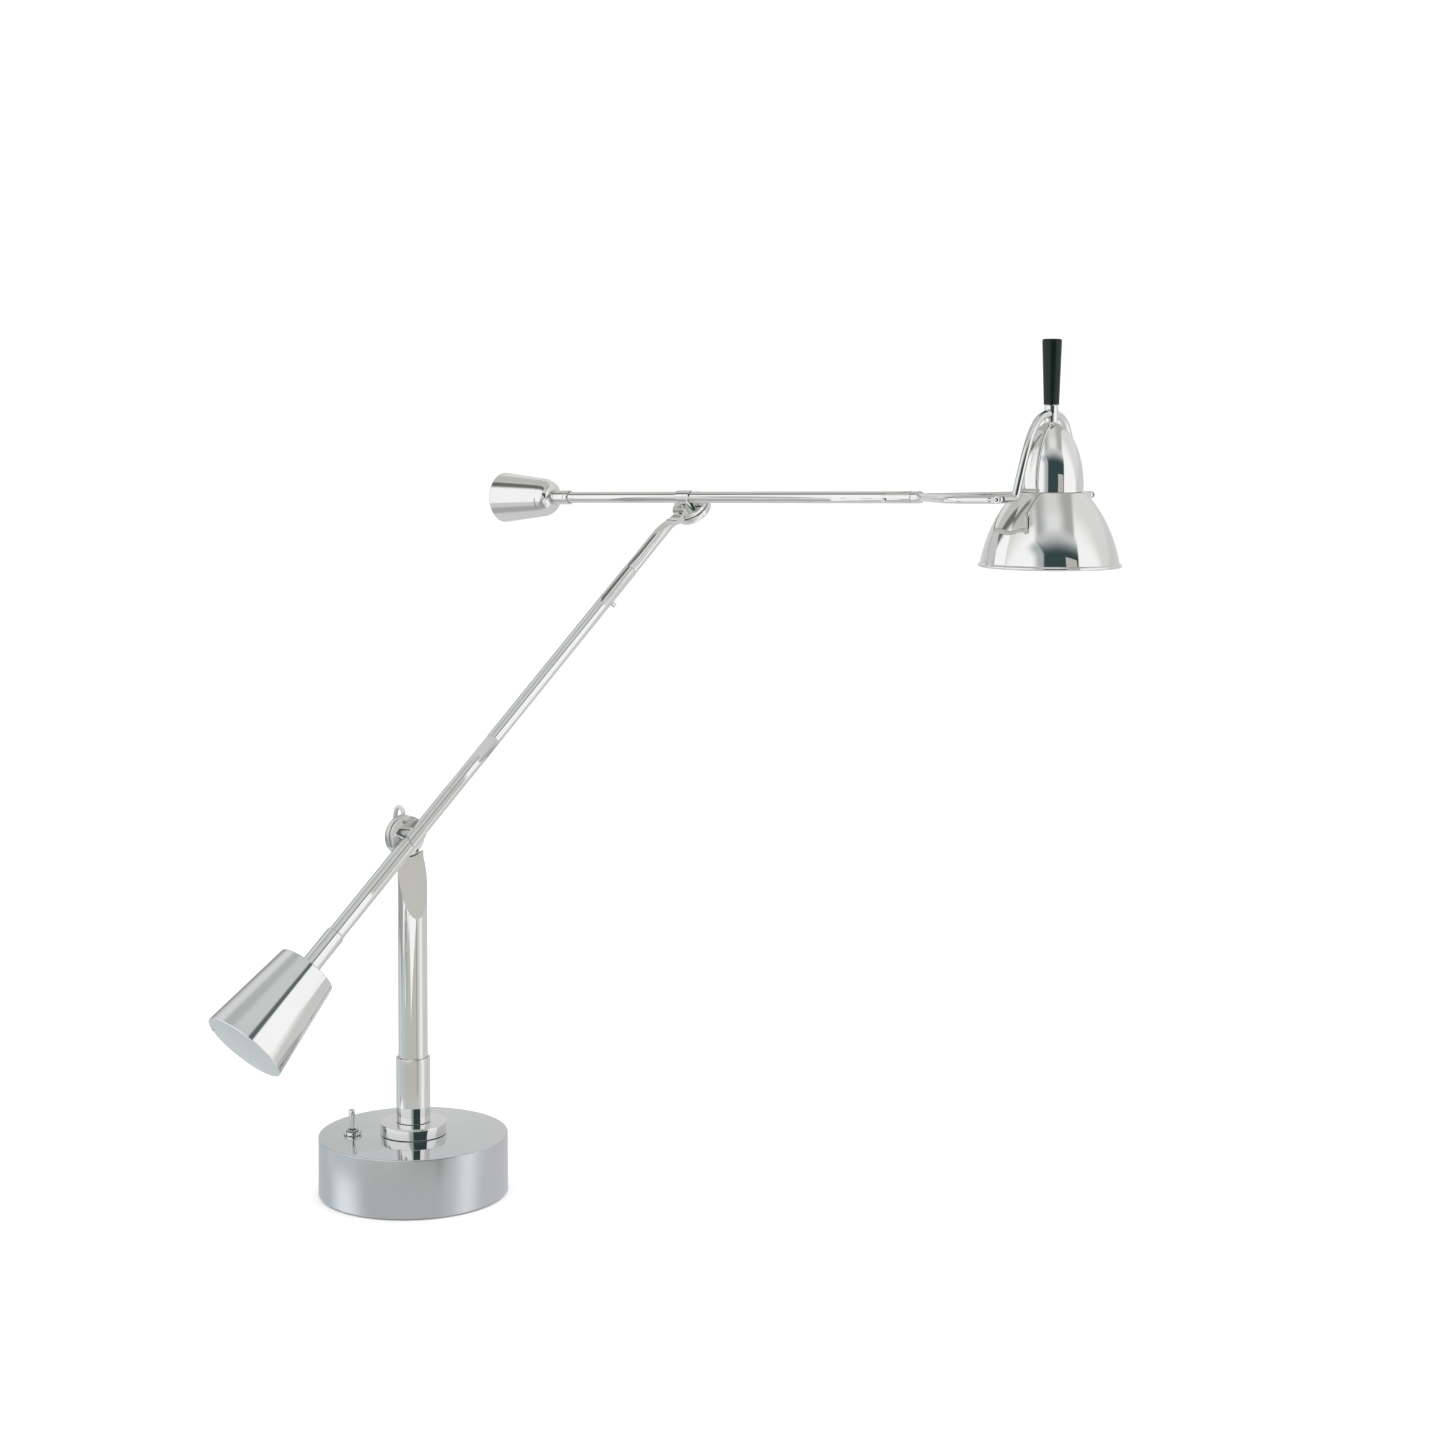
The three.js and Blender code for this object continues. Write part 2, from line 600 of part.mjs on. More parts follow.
function discScrewPlace(geometry, toFace, angle) {
  return geometry.translate(0, toFace, DISC_SCREW_R).rotateY(angle * DEG);
}

function discScrew(toFace, angle) {
  const head = rodY(DISC_SCREW_D, -DISC_SCREW_T - GAP, -GAP, SCREW_SIDES);
  const shank = rodY(DISC_SCREW_SHANK, -GAP - DISC_SCREW_T / 2, DISC_SCREW_DEPTH, SCREW_SIDES);
  return solid(discScrewPlace(head, toFace, angle)).add(solid(discScrewPlace(shank, toFace, angle)));
}

function frictionWasher(toFace) {
  const from = toFace + FRONT_DISC_T + GAP;
  return solid(pipe(WASHER_D, PIVOT_STUD_D + 2 * GAP, from, from + WASHER_T).rotateX(-QUARTER));
}

function stackRear(toFace) {
  return toFace + FRONT_DISC_T + DISC_GAP + REAR_DISC_T;
}

function pivotStud(toFace) {
  const from = toFace + PIVOT_STUD_SEAT + GAP;
  const to = stackRear(toFace) + GAP + PIVOT_NUT_T;
  return solid(pipe(PIVOT_STUD_D, PIVOT_STUD_BORE, from, to, 0, SMALL_ROUND).rotateX(-QUARTER));
}

function pivotNut(toFace) {
  const from = stackRear(toFace) + GAP;
  return hexNut(PIVOT_NUT_AF, PIVOT_STUD_D + 2 * GAP, from, from + PIVOT_NUT_T, rodY);
}

function cableHole() {
  const y = SHOULDER_FACE + FRONT_DISC_T + DISC_GAP + REAR_DISC_T / 2;
  const top = PIVOT_Z + DISC_D / 2;
  return solid(rod(CABLE_D + 2 * GAP, top - CABLE_HOLE_DEPTH, top + OVER, SMALL_ROUND)
    .translate(0, y, 0));
}

// The lamp's cable leaves the top of the post and loops back into the hollow shoulder stud.
function shoulderCable() {
  const from = SHOULDER_FACE + FRONT_DISC_T + DISC_GAP + REAR_DISC_T / 2;
  const rim = DISC_D / 2;
  const out = CABLE_LOOP_W;
  const up = CABLE_LOOP_H;
  const route = [
    [0, rim - CABLE_HOLE_DEPTH + GAP], [0, rim], [0.02 * out, rim + up / 2],
    [0.19 * out, rim + 0.87 * up], [out / 2, rim + up], [0.77 * out, rim + 0.7 * up],
    [0.93 * out, rim + 0.1 * up], [out, 0.65 * rim], [0.96 * out, 0.28 * rim],
    [0.77 * out, 0.06 * rim], [out / 2, 0], [0.07 * out, 0],
  ].map(([y, z]) => new THREE.Vector3(0, from + y, PIVOT_Z + z));
  return solid(bentRod(CABLE_D, new THREE.CatmullRomCurve3(route), CABLE_STEPS, CABLE_SIDES));
}

// ---------------------------------------------------------------- lower arm
function lowerArmTube() {
  const from = LOWER_WEIGHT_TOP - WEIGHT_SEAT + GAP;
  const tube = solid(pipe(LOWER_TUBE_D, 2 * LOWER_BORE, from, END_JOINT_STATION - GAP));
  const hole = rodY(SET_SCREW_D + 2 * GAP, 0, LOWER_TUBE_D, SMALL_ROUND)
    .rotateZ(SCREW_SIDE * DEG).translate(0, 0, SET_SCREW_STATION);
  return tube.subtract(solid(hole));
}

function lowerArmSleeve() {
  return solid(pipe(THICK_SLEEVE_D, LOWER_TUBE_D + 2 * GAP, NECK_TOP + GAP,
    -BOSS_D / 2 - GAP, THICK_SLEEVE_EDGE));
}

function lowerWeightNeck() {
  return solid(pipe(NECK_D, LOWER_TUBE_D + 2 * GAP, LOWER_WEIGHT_TOP + GAP, NECK_TOP, NECK_CHAMFER));
}

// A truncated cone with broken edges, and the given profile points above its upper end.
function cone(downD, upD, down, up, crown) {
  const edge = WEIGHT_EDGE;
  return solid(turned([
    [0, down], [downD / 2 - edge, down], [downD / 2, down + edge],
    [upD / 2, up - edge], [upD / 2 - edge, up], ...crown,
  ], WIDE_ROUND));
}

function lowerWeight() {
  const top = LOWER_WEIGHT_TOP;
  const seat = rod(LOWER_TUBE_D + 2 * GAP, top - WEIGHT_SEAT, top + OVER);
  return cone(LOWER_WEIGHT_D2, LOWER_WEIGHT_D1, LOWER_WEIGHT_END, top, [[0, top]])
    .subtract(solid(seat));
}

// A small screw in the side of a tube, its head standing proud.
function sideScrew(station, tubeD, tip, headD, proud) {
  const face = tubeD / 2 + GAP;
  const shank = rodY(SET_SCREW_D, tip, face + proud / 2, SMALL_ROUND);
  const head = rodY(headD, face, face + proud, SMALL_ROUND);
  const place = (bar) => solid(bar.rotateZ(SCREW_SIDE * DEG).translate(0, 0, station));
  return place(shank).add(place(head));
}

function lowerSetScrew() {
  return sideScrew(SET_SCREW_STATION, LOWER_TUBE_D, LOWER_BORE, SET_SCREW_HEAD, SET_SCREW_PROUD);
}

// End fitting of the lower arm: spigot, stem, cranked neck and the elbow's rear disc.
function lowerArmEnd() {
  const stem = solid(rod(END_D, END_JOINT_STATION, ELBOW_STATION));
  const spigot = solid(rod(2 * (LOWER_BORE - GAP), END_JOINT_STATION - SPIGOT_LENGTH,
    END_JOINT_STATION + OVER, SMALL_ROUND));
  const rear = ELBOW_FACE + FRONT_DISC_T + DISC_GAP;
  const crank = rodBetween(END_D, new THREE.Vector3(0, 0, ELBOW_STATION - CRANK_LENGTH),
    new THREE.Vector3(0, rear + REAR_DISC_T - END_D / 2, ELBOW_STATION - DISC_D / 4), ROUND);
  const pin = rodY(SET_SCREW_D, 0, END_D / 2 + STOP_PIN_PROUD, SMALL_ROUND)
    .translate(0, 0, STOP_PIN_STATION);
  return carrierEnd(joinAll([stem, spigot, solid(crank), solid(pin)]), ELBOW_STATION, END_D,
    ELBOW_FACE, ELBOW_FLAT, ELBOW_FLAT_LENGTH, ELBOW_FLAT_TURN);
}

// ---------------------------------------------------------------- upper arm
function upperArmTube() {
  const from = UPPER_WEIGHT_TOP - UPPER_WEIGHT_SEAT + GAP;
  const tube = solid(pipe(UPPER_TUBE_D, 2 * UPPER_BORE, from, SOCKET_STATION - GAP));
  const hole = rodY(SET_SCREW_D + 2 * GAP, 0, UPPER_TUBE_D, SMALL_ROUND)
    .rotateZ(SCREW_SIDE * DEG).translate(0, 0, UPPER_SCREW_STATION);
  return tube.subtract(solid(hole));
}

function upperSetScrew() {
  return sideScrew(UPPER_SCREW_STATION, UPPER_TUBE_D, UPPER_BORE, SET_SCREW_HEAD,
    UPPER_SCREW_PROUD);
}

function upperWeightNeck() {
  const outer = UPPER_NECK_D / 2;
  const bore = UPPER_TUBE_D / 2 + GAP;
  const from = UPPER_WEIGHT_TOP + SHOULDER_CONE + GAP;
  const top = UPPER_NECK_TOP;
  const ring = top - UPPER_NECK_GROOVE;
  return solid(turned([
    [bore, from], [outer, from], [outer, ring - NECK_GROOVE_HALF],
    [outer - NECK_GROOVE_DEPTH, ring], [outer, ring + NECK_GROOVE_HALF],
    [outer, top - UPPER_NECK_EDGE], [outer - UPPER_NECK_EDGE, top], [bore, top], [bore, from],
  ]));
}

function upperWeight() {
  const crown = [];
  const from = UPPER_WEIGHT_D1 / 2 - WEIGHT_EDGE;
  const to = UPPER_NECK_D / 2;
  const top = UPPER_WEIGHT_TOP;
  for (let i = 1; i <= EDGE_STEPS; i += 1) {
    const angle = (i / EDGE_STEPS) * QUARTER;
    crown.push([to + (from - to) * Math.cos(angle), top + SHOULDER_CONE * Math.sin(angle)]);
  }
  crown.push([0, top + SHOULDER_CONE]);
  const seat = rod(UPPER_TUBE_D + 2 * GAP, top - UPPER_WEIGHT_SEAT, top + SHOULDER_CONE + OVER);
  return cone(UPPER_WEIGHT_D2, UPPER_WEIGHT_D1, UPPER_WEIGHT_END, top, crown)
    .subtract(solid(seat));
}

// ---------------------------------------------------------------- fork
// The fork lies in the YZ plane, its stem along Z; its pivots are across Y.
function prongCurve(side) {
  const point = (y, z) => new THREE.Vector3(0, side * y, z);
  const root = point(0, FORK_ROOT);
  const shoulder = point(FORK_HALF, FORK_SHOULDER);
  const spread = shoulder.clone().sub(root).normalize();
  const before = shoulder.clone().addScaledVector(spread, -FORK_BEND);
  const after = point(FORK_HALF, FORK_SHOULDER + FORK_BEND);
  const path = new THREE.CurvePath();
  path.add(new THREE.LineCurve3(root, before));
  path.add(new THREE.QuadraticBezierCurve3(before, shoulder, after));
  path.add(new THREE.LineCurve3(after, point(FORK_HALF, KNUCKLE_STATION)));
  return path;
}

function fork() {
  const spigot = rod(2 * (UPPER_BORE - GAP), SOCKET_STATION - FORK_SPIGOT, SOCKET_STATION + OVER,
    SMALL_ROUND);
  const stem = rod(UPPER_TUBE_D, SOCKET_STATION, FORK_ROOT);
  const nose = ball(UPPER_TUBE_D, new THREE.Vector3(0, 0, FORK_ROOT));
  const parts = [spigot, stem, nose];
  for (const side of [-1, 1]) {
    parts.push(bentRod(FORK_ROD_D, prongCurve(side), PRONG_STEPS, SMALL_ROUND));
    parts.push(ball(FORK_ROD_D, new THREE.Vector3(0, side * FORK_HALF, KNUCKLE_STATION)));
  }
  const reach = PRONG_FACE + OVER;
  const pins = rodY(PIN_D + 2 * GAP, -reach, reach, SMALL_ROUND).translate(0, 0, KNUCKLE_STATION);
  const wireHole = rodY(BRIDGE_D + 2 * GAP, -reach, -FORK_HALF, SMALL_ROUND)
    .translate(0, 0, KNUCKLE_STATION - BRIDGE_REACH);
  return cutAll(joinAll(parts.map(solid)), [solid(pins), solid(wireHole)]);
}

// The little cable that hops from the front prong into the hollow pin.
function headBridge() {
  const depth = PRONG_FACE - BRIDGE_DEPTH;
  const mouth = PRONG_FACE + GAP + PIN_HEAD_T;
  const out = mouth + BRIDGE_OUT;
  const near = out - BRIDGE_TURN / 2;
  const route = [
    [depth, -BRIDGE_REACH], [PRONG_FACE, -BRIDGE_REACH], [near, BRIDGE_TURN / 4 - BRIDGE_REACH],
    [out, BRIDGE_TURN - BRIDGE_REACH], [out, -BRIDGE_TURN], [near, -BRIDGE_TURN / 4],
    [mouth, 0], [depth, 0],
  ].map(([y, z]) => new THREE.Vector3(0, -y, KNUCKLE_STATION + z));
  return solid(bentRod(BRIDGE_D, new THREE.CatmullRomCurve3(route), BRIDGE_STEPS, CABLE_SIDES));
}

// A pin through a prong into the bow's foot, hollow at the front for the little cable.
function headPin(side) {
  const seat = PRONG_FACE + GAP;
  const head = seat + PIN_HEAD_T;
  const inner = FOOT_END - PIN_SEAT + GAP;
  const span = (a, b) => [side * a, side * b].sort((p, q) => p - q);
  const bar = (diameter, from, to) => solid(rodY(diameter, ...span(from, to), SMALL_ROUND)
    .translate(0, 0, KNUCKLE_STATION));
  const pin = bar(PIN_D, inner, seat + PIN_HEAD_T / 2).add(bar(PIN_HEAD_D, seat, head));
  return side < 0 ? pin.subtract(bar(BRIDGE_D + 2 * GAP, inner - OVER, head + OVER)) : pin;
}

// ---------------------------------------------------------------- head
// Head frame: origin on the pivots' axis (Y), X along the arm, Z up, shade axis at X = KNUCKLE_REACH.
// The bow leans from the pivots' axis up to the shade axis.
function bowCurve() {
  const point = (y, z) => new THREE.Vector3((KNUCKLE_REACH * z) / BOW_HEIGHT, y, z);
  const path = new THREE.CurvePath();
  path.add(new THREE.CubicBezierCurve3(point(-LEG_HALF, 0), point(-BOW_LEG_Y, BOW_LEG_Z),
    point(-BOW_CROWN, BOW_HEIGHT), point(0, BOW_HEIGHT)));
  path.add(new THREE.CubicBezierCurve3(point(0, BOW_HEIGHT), point(BOW_CROWN, BOW_HEIGHT),
    point(BOW_LEG_Y, BOW_LEG_Z), point(LEG_HALF, 0)));
  return path;
}

function bow() {
  const parts = [bentRod(FORK_ROD_D, bowCurve(), BOW_STEPS, SMALL_ROUND)];
  const holes = [];
  for (const side of [-1, 1]) {
    const corner = new THREE.Vector3(0, side * LEG_HALF, 0);
    const end = new THREE.Vector3(0, side * FOOT_END, 0);
    parts.push(rodBetween(FORK_ROD_D, corner, end), ball(FORK_ROD_D, corner));
    const [from, to] = [side * (FOOT_END - PIN_SEAT), side * (FOOT_END + OVER)].sort((a, b) => a - b);
    holes.push(rodY(PIN_D + 2 * GAP, from, to, SMALL_ROUND));
  }
  holes.push(rod(HEAD_STUD_D + 2 * GAP, BOW_HEIGHT - FORK_ROD_D, BOW_HEIGHT + FORK_ROD_D,
    SMALL_ROUND).translate(KNUCKLE_REACH, 0, 0));
  return cutAll(joinAll(parts.map(solid)), holes.map(solid));
}

// What is turned about the shade axis is moved out to it.
const onShadeAxis = (geometry) => geometry.translate(KNUCKLE_REACH, 0, 0);

function ferrule() {
  const from = DOME_TOP + GAP;
  const tube = pipe(FERRULE_D, HEAD_STUD_D + 2 * GAP, from, from + FERRULE_L, FERRULE_EDGE);
  const slot = bentRod(FORK_ROD_D + 2 * GAP, bowCurve(), BOW_STEPS, SMALL_ROUND);
  return solid(onShadeAxis(tube)).subtract(solid(slot));
}

function headStud() {
  const from = DOME_TOP - HOLDER_TOP - HOLDER_ROOF + GAP;
  const to = DOME_TOP + GAP + FERRULE_L + GAP + HEAD_STUD_UP;
  return solid(onShadeAxis(rod(HEAD_STUD_D, from, to, SMALL_ROUND)));
}

function handle() {
  const from = DOME_TOP + GAP + FERRULE_L + GAP;
  const to = from + HANDLE_L;
  const bore = HEAD_STUD_D / 2 + GAP;
  const blind = from + HEAD_STUD_UP + GAP;
  const outer = HANDLE_D2 / 2;
  const edge = HANDLE_EDGE;
  const profile = [[0, blind], [bore, blind], [bore, from], [HANDLE_D1 / 2, from]];
  for (let i = 0; i <= EDGE_STEPS; i += 1) {
    const angle = (i / EDGE_STEPS) * QUARTER;
    profile.push([outer - edge + edge * Math.cos(angle), to - edge + edge * Math.sin(angle)]);
  }
  profile.push([0, to]);
  return solid(onShadeAxis(turned(profile)));
}

// Points of a dome's wall from its rim up to a small flat, at a given inset.
function domeWall(inset) {
  const points = [];
  const radius = DOME_D / 2 - inset;
  const height = DOME_CURVE_H - inset;
  const base = DOME_TOP - DOME_CURVE_H;
  const last = Math.acos((DOME_NECK_D / 2) / radius);
  for (let i = 0; i <= WALL_STEPS; i += 1) {
    const angle = (i / WALL_STEPS) * last;
    points.push([radius * Math.cos(angle), base + height * Math.sin(angle)]);
  }
  return points;
}

function shadeDome() {
  const rim = DOME_TOP - DOME_H;
  const outer = domeWall(0);
  const inner = domeWall(SHEET_T).reverse();
  const hole = HEAD_STUD_D / 2 + GAP;
  const top = DOME_TOP;
  return solid(onShadeAxis(turned([
    [inner.at(-1)[0], rim], [outer[0][0], rim], ...outer,
    [outer.at(-1)[0] - DOME_CAP_STEP, top], [hole, top], [hole, top - DOME_ROOF],
    ...inner, [inner.at(-1)[0], rim],
  ], WIDE_ROUND)));
}

// Points of the bell's wall from its rim up to its shoulder, at a given inset.
function bellWall(inset) {
  const top = DOME_TOP - DOME_H - GAP;
  const curve = new THREE.QuadraticBezierCurve(
    new THREE.Vector2(BELL_D / 2 - inset, top - BELL_H + LIP_D / 2),
    new THREE.Vector2(BELL_SHOULDER_D / 2 - inset, top - BELL_SHOULDER_H - inset),
    new THREE.Vector2(BELL_TOP_D / 2 - inset, top - inset));
  return curve.getPoints(WALL_STEPS).map(({ x, y }) => [x, y]);
}

function shadeBell() {
  const top = DOME_TOP - DOME_H - GAP;
  const outer = bellWall(0);
  const inner = bellWall(SHEET_T).reverse();
  const wall = solid(onShadeAxis(turned([
    ...outer, [BELL_HOLE_D / 2, top], [BELL_HOLE_D / 2, top - SHEET_T], ...inner, outer[0],
  ], WIDE_ROUND)));
  const lip = [];
  const centre = outer[0][1];
  for (let i = 0; i <= LIP_SIDES; i += 1) {
    const angle = (i / LIP_SIDES) * 2 * Math.PI;
    lip.push([(BELL_D + LIP_D * Math.cos(angle)) / 2, centre + (LIP_D / 2) * Math.sin(angle)]);
  }
  return wall.add(solid(onShadeAxis(turned(lip, WIDE_ROUND))));
}

function lampholder() {
  const top = DOME_TOP - HOLDER_TOP;
  const roof = top - HOLDER_ROOF;
  const bore = BULB_CAP_D / 2 + GAP;
  const hole = HEAD_STUD_D / 2 + GAP;
  const outer = HOLDER_D / 2;
  return solid(onShadeAxis(turned([
    [bore, top - HOLDER_L], [outer, top - HOLDER_L], [outer, top - HOLDER_EDGE],
    [outer - HOLDER_EDGE, top], [hole, top], [hole, roof], [bore, roof], [bore, top - HOLDER_L],
  ])));
}

function bulb() {
  const mouth = DOME_TOP - HOLDER_TOP - HOLDER_L;
  const cap = BULB_CAP_D / 2;
  const glass = BULB_D / 2;
  const middle = mouth - BULB_L + glass;
  const round = QUARTER + BULB_ROUND_ANGLE * DEG;
  const profile = [[0, middle - glass]];
  for (let i = 1; i <= BULB_STEPS; i += 1) {
    const angle = (i / BULB_STEPS) * round - QUARTER;
    profile.push([glass * Math.cos(angle), middle + glass * Math.sin(angle)]);
  }
  profile.push([cap, mouth - GAP], [cap, mouth + BULB_CAP_L], [0, mouth + BULB_CAP_L]);
  return solid(onShadeAxis(turned(profile)));
}

// ---------------------------------------------------------------- assembly
function frame(name, parent, position, axis = 'z', degrees = 0) {
  const group = new THREE.Group();
  group.name = name;
  group.position.set(...position);
  group.rotation[axis] = degrees * DEG;
  parent.add(group);
  return group;
}

const lamp = new THREE.Group();
const switchFrame = frame('switch_frame', lamp, [SWITCH_X, SWITCH_Y, 0]);
const leverFrame = frame('lever_frame', switchFrame,
  [0, 0, BASE_TOP + BUSHING_TOP - LEVER_PIVOT_DEPTH], 'x', LEVER_TILT);
const postFrame = frame('post_frame', lamp, [0, 0, 0], 'z', POST_YAW);
const lowerFrame = frame('lower_arm_frame', postFrame,
  [0, SHOULDER_FACE - SHOULDER_ARM, PIVOT_Z], 'y', LOWER_LEAN);
const endFrame = frame('lower_end_frame', lowerFrame, [0, 0, 0], 'z', ELBOW_ROLL);
const upperFrame = frame('upper_arm_frame', endFrame,
  [0, ELBOW_FACE - ELBOW_ARM, ELBOW_STATION], 'y', ELBOW_ANGLE);
const forkFrame = frame('fork_frame', upperFrame, [0, 0, 0], 'z', FORK_ROLL);
const headFrame = frame('head_frame', forkFrame, [0, 0, KNUCKLE_STATION], 'y', HEAD_TILT - 90);

lamp.add(
  piece('base_shell', baseShell(), SATIN),
  piece('base_ballast', baseBallast(), IRON),
  piece('base_plate', basePlate(), STEEL),
  piece('felt_pad', solid(rod(FELT_D, 0, FELT_T)), FELT),
  piece('cable_gland', cableGland(), BLACK),
  piece('collar', collar(), NICKEL),
  piece('post_sleeve', postSleeve(), NICKEL),
  piece('stem_nut', stemNut(), STEEL),
  piece('swivel_bush', swivelBush(), FIBRE),
  piece('sleeve_grub_screw', grubScrew(), STEEL),
);
screwPlaces().forEach((place, i) => {
  lamp.add(piece(`plate_screw_${i + 1}`, plateScrew(place), STEEL));
});
switchFrame.add(piece('switch_body', switchBody(), STEEL), piece('switch_nut', switchNut(), NICKEL));
leverFrame.add(piece('switch_lever', switchLever(), NICKEL));
postFrame.add(piece('post', post(), NICKEL), piece('shoulder_cable', shoulderCable(), CABLE));

// The pieces that clamp an arm's mount to its carrier.
function addJoint(parent, name, armD, toFace, screwAngles) {
  parent.add(
    piece(`${name}_mount`, armMount(armD, toFace, screwAngles), NICKEL),
    piece(`${name}_washer`, frictionWasher(toFace), FIBRE),
    piece(`${name}_stud`, pivotStud(toFace), STEEL),
    piece(`${name}_nut`, pivotNut(toFace), NICKEL),
  );
  screwAngles.forEach((angle, i) => {
    parent.add(piece(`${name}_screw_${i + 1}`, discScrew(toFace, angle), STEEL));
  });
}

addJoint(lowerFrame, 'shoulder', LOWER_TUBE_D, SHOULDER_ARM, SHOULDER_SCREW_ANGLES);
lowerFrame.add(
  piece('lower_arm_tube', lowerArmTube(), NICKEL),
  piece('lower_arm_sleeve', lowerArmSleeve(), NICKEL),
  piece('lower_weight_neck', lowerWeightNeck(), NICKEL),
  piece('lower_weight', lowerWeight(), NICKEL),
  piece('lower_set_screw', lowerSetScrew(), NICKEL),
);
endFrame.add(piece('lower_arm_end', lowerArmEnd(), NICKEL));
addJoint(upperFrame, 'elbow', UPPER_TUBE_D, ELBOW_ARM, ELBOW_SCREW_ANGLES);
upperFrame.add(
  piece('upper_arm_tube', upperArmTube(), NICKEL),
  piece('upper_weight_neck', upperWeightNeck(), NICKEL),
  piece('upper_weight', upperWeight(), NICKEL),
  piece('upper_set_screw', upperSetScrew(), NICKEL),
);
forkFrame.add(
  piece('fork', fork(), NICKEL),
  piece('head_pin_front', headPin(-1), NICKEL),
  piece('head_pin_rear', headPin(1), NICKEL),
  piece('head_bridge_cable', headBridge(), CABLE),
);
headFrame.add(
  piece('bow', bow(), NICKEL),
  piece('ferrule', ferrule(), NICKEL),
  piece('head_stud', headStud(), STEEL),
  piece('handle', handle(), BLACK),
  piece('shade_dome', shadeDome(), NICKEL),
  piece('shade_bell', shadeBell(), NICKEL),
  piece('lampholder', lampholder(), CERAMIC),
  piece('bulb', bulb(), GLASS),
);

export default lamp;
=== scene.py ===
"""Architect desk lamp: smooth pieces, materials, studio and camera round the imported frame."""
import json
import math

import bmesh
import bpy
from mathutils import Matrix, Vector


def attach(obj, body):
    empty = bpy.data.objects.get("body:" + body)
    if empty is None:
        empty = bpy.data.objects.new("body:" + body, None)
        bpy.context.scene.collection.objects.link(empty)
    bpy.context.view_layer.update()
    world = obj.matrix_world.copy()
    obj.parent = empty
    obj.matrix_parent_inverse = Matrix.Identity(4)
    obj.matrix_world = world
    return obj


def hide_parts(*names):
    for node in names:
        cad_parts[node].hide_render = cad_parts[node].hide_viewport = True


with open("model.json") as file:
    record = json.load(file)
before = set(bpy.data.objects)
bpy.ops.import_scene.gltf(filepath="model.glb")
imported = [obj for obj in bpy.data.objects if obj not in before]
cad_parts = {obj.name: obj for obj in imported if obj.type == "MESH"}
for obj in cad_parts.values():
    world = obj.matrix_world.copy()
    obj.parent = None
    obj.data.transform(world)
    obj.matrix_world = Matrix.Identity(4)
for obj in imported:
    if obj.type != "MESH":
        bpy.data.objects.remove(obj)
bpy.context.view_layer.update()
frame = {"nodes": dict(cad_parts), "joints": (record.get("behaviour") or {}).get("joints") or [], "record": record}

MM = 0.001
DEG = math.pi / 180
QUARTER = math.pi / 2
NICKEL = "polished_nickel"  # the finish of most pieces
SIDES = 96  # sides of a large turned piece
SMALL_SIDES = 40  # sides of a small one
CORNER_STEPS = 5  # facets of a rounded corner
CORNER_SHARE = 0.48  # how much of an edge a corner may use up
GAP = 0.3  # clearance between pieces in mm, as in the solids
PAST = 3  # how far a cutting tool reaches past what it cuts

# ---------- frames
JOINT = {j["name"]: j for j in frame["joints"]}


def basis(origin, y, z):
    """A frame at origin with the given Y and Z directions."""
    y, z = Vector(y).normalized(), Vector(z).normalized()
    turn = Matrix((y.cross(z), y, z)).transposed().to_4x4()
    return Matrix.Translation(origin) @ turn


def joint_at(name):
    """Where a joint turns, in metres."""
    return Vector(JOINT[name]["pos_m"])


def joint_axis(name):
    """The direction that a joint turns about."""
    return Vector(JOINT[name]["axis"])


HEAD_TILT = 1.4 * DEG  # how far the shade is from square to the fork at rest
LEVER_TILT = 12 * DEG  # how far the switch lever leans at rest
UP = Vector((0, 0, 1))

# The parts' frames: Z along the tube, arm or shade, and Y along the joint's axis, apart from the
# base's and the lever's
BASE = Matrix.Identity(4)
POST = basis((0, 0, 0), joint_axis("shoulder_tilt"), UP)
LOWER = basis(joint_at("shoulder_tilt"), joint_axis("shoulder_tilt"), joint_axis("lower_arm_roll"))
END = basis(joint_at("shoulder_tilt"), joint_axis("elbow_tilt"), joint_axis("lower_arm_roll"))
UPPER = basis(joint_at("elbow_tilt"), joint_axis("elbow_tilt"), joint_axis("fork_roll"))
FORK = basis(joint_at("elbow_tilt"), joint_axis("head_tilt"), joint_axis("fork_roll"))
KNUCKLE_STATION = (joint_at("head_tilt") - joint_at("elbow_tilt")).length / MM
HEAD = FORK @ Matrix.Translation((0, 0, KNUCKLE_STATION * MM)) @ Matrix.Rotation(
    HEAD_TILT - QUARTER, 4, "Y")
LEVER = Matrix.Translation(joint_at("switch_toggle")) @ Matrix.Rotation(LEVER_TILT, 4, "X")
ACROSS = Matrix.Rotation(-QUARTER, 4, "X")  # turns a mesh's Z onto Y


# ---------- mesh helpers
def rounded(profile, closed=False):
    """Profile points [radius, height, corner radius] with their corners rounded."""
    out = []
    last = len(profile) - 1
    for i, point in enumerate(profile):
        here = Vector(point[:2])
        corner = point[2] if len(point) > 2 else 0
        if not corner or (not closed and i in (0, last)):
            out.append(here)
            continue
        before = Vector(profile[i - 1][:2]) - here
        after = Vector(profile[(i + 1) % len(profile)][:2]) - here
        half = before.angle(after) / 2
        most = CORNER_SHARE * min(before.length, after.length)
        taken = min(corner / math.tan(half), most)
        middle = (before.normalized() + after.normalized()).normalized()
        centre = here + middle * (taken / math.cos(half))
        start = here + before.normalized() * taken - centre
        end = here + after.normalized() * taken - centre
        sweep = start.angle(end)
        for k in range(CORNER_STEPS + 1):
            t = k / CORNER_STEPS
            blend = start * math.sin((1 - t) * sweep) + end * math.sin(t * sweep)
            out.append(centre + blend / math.sin(sweep))
    return out


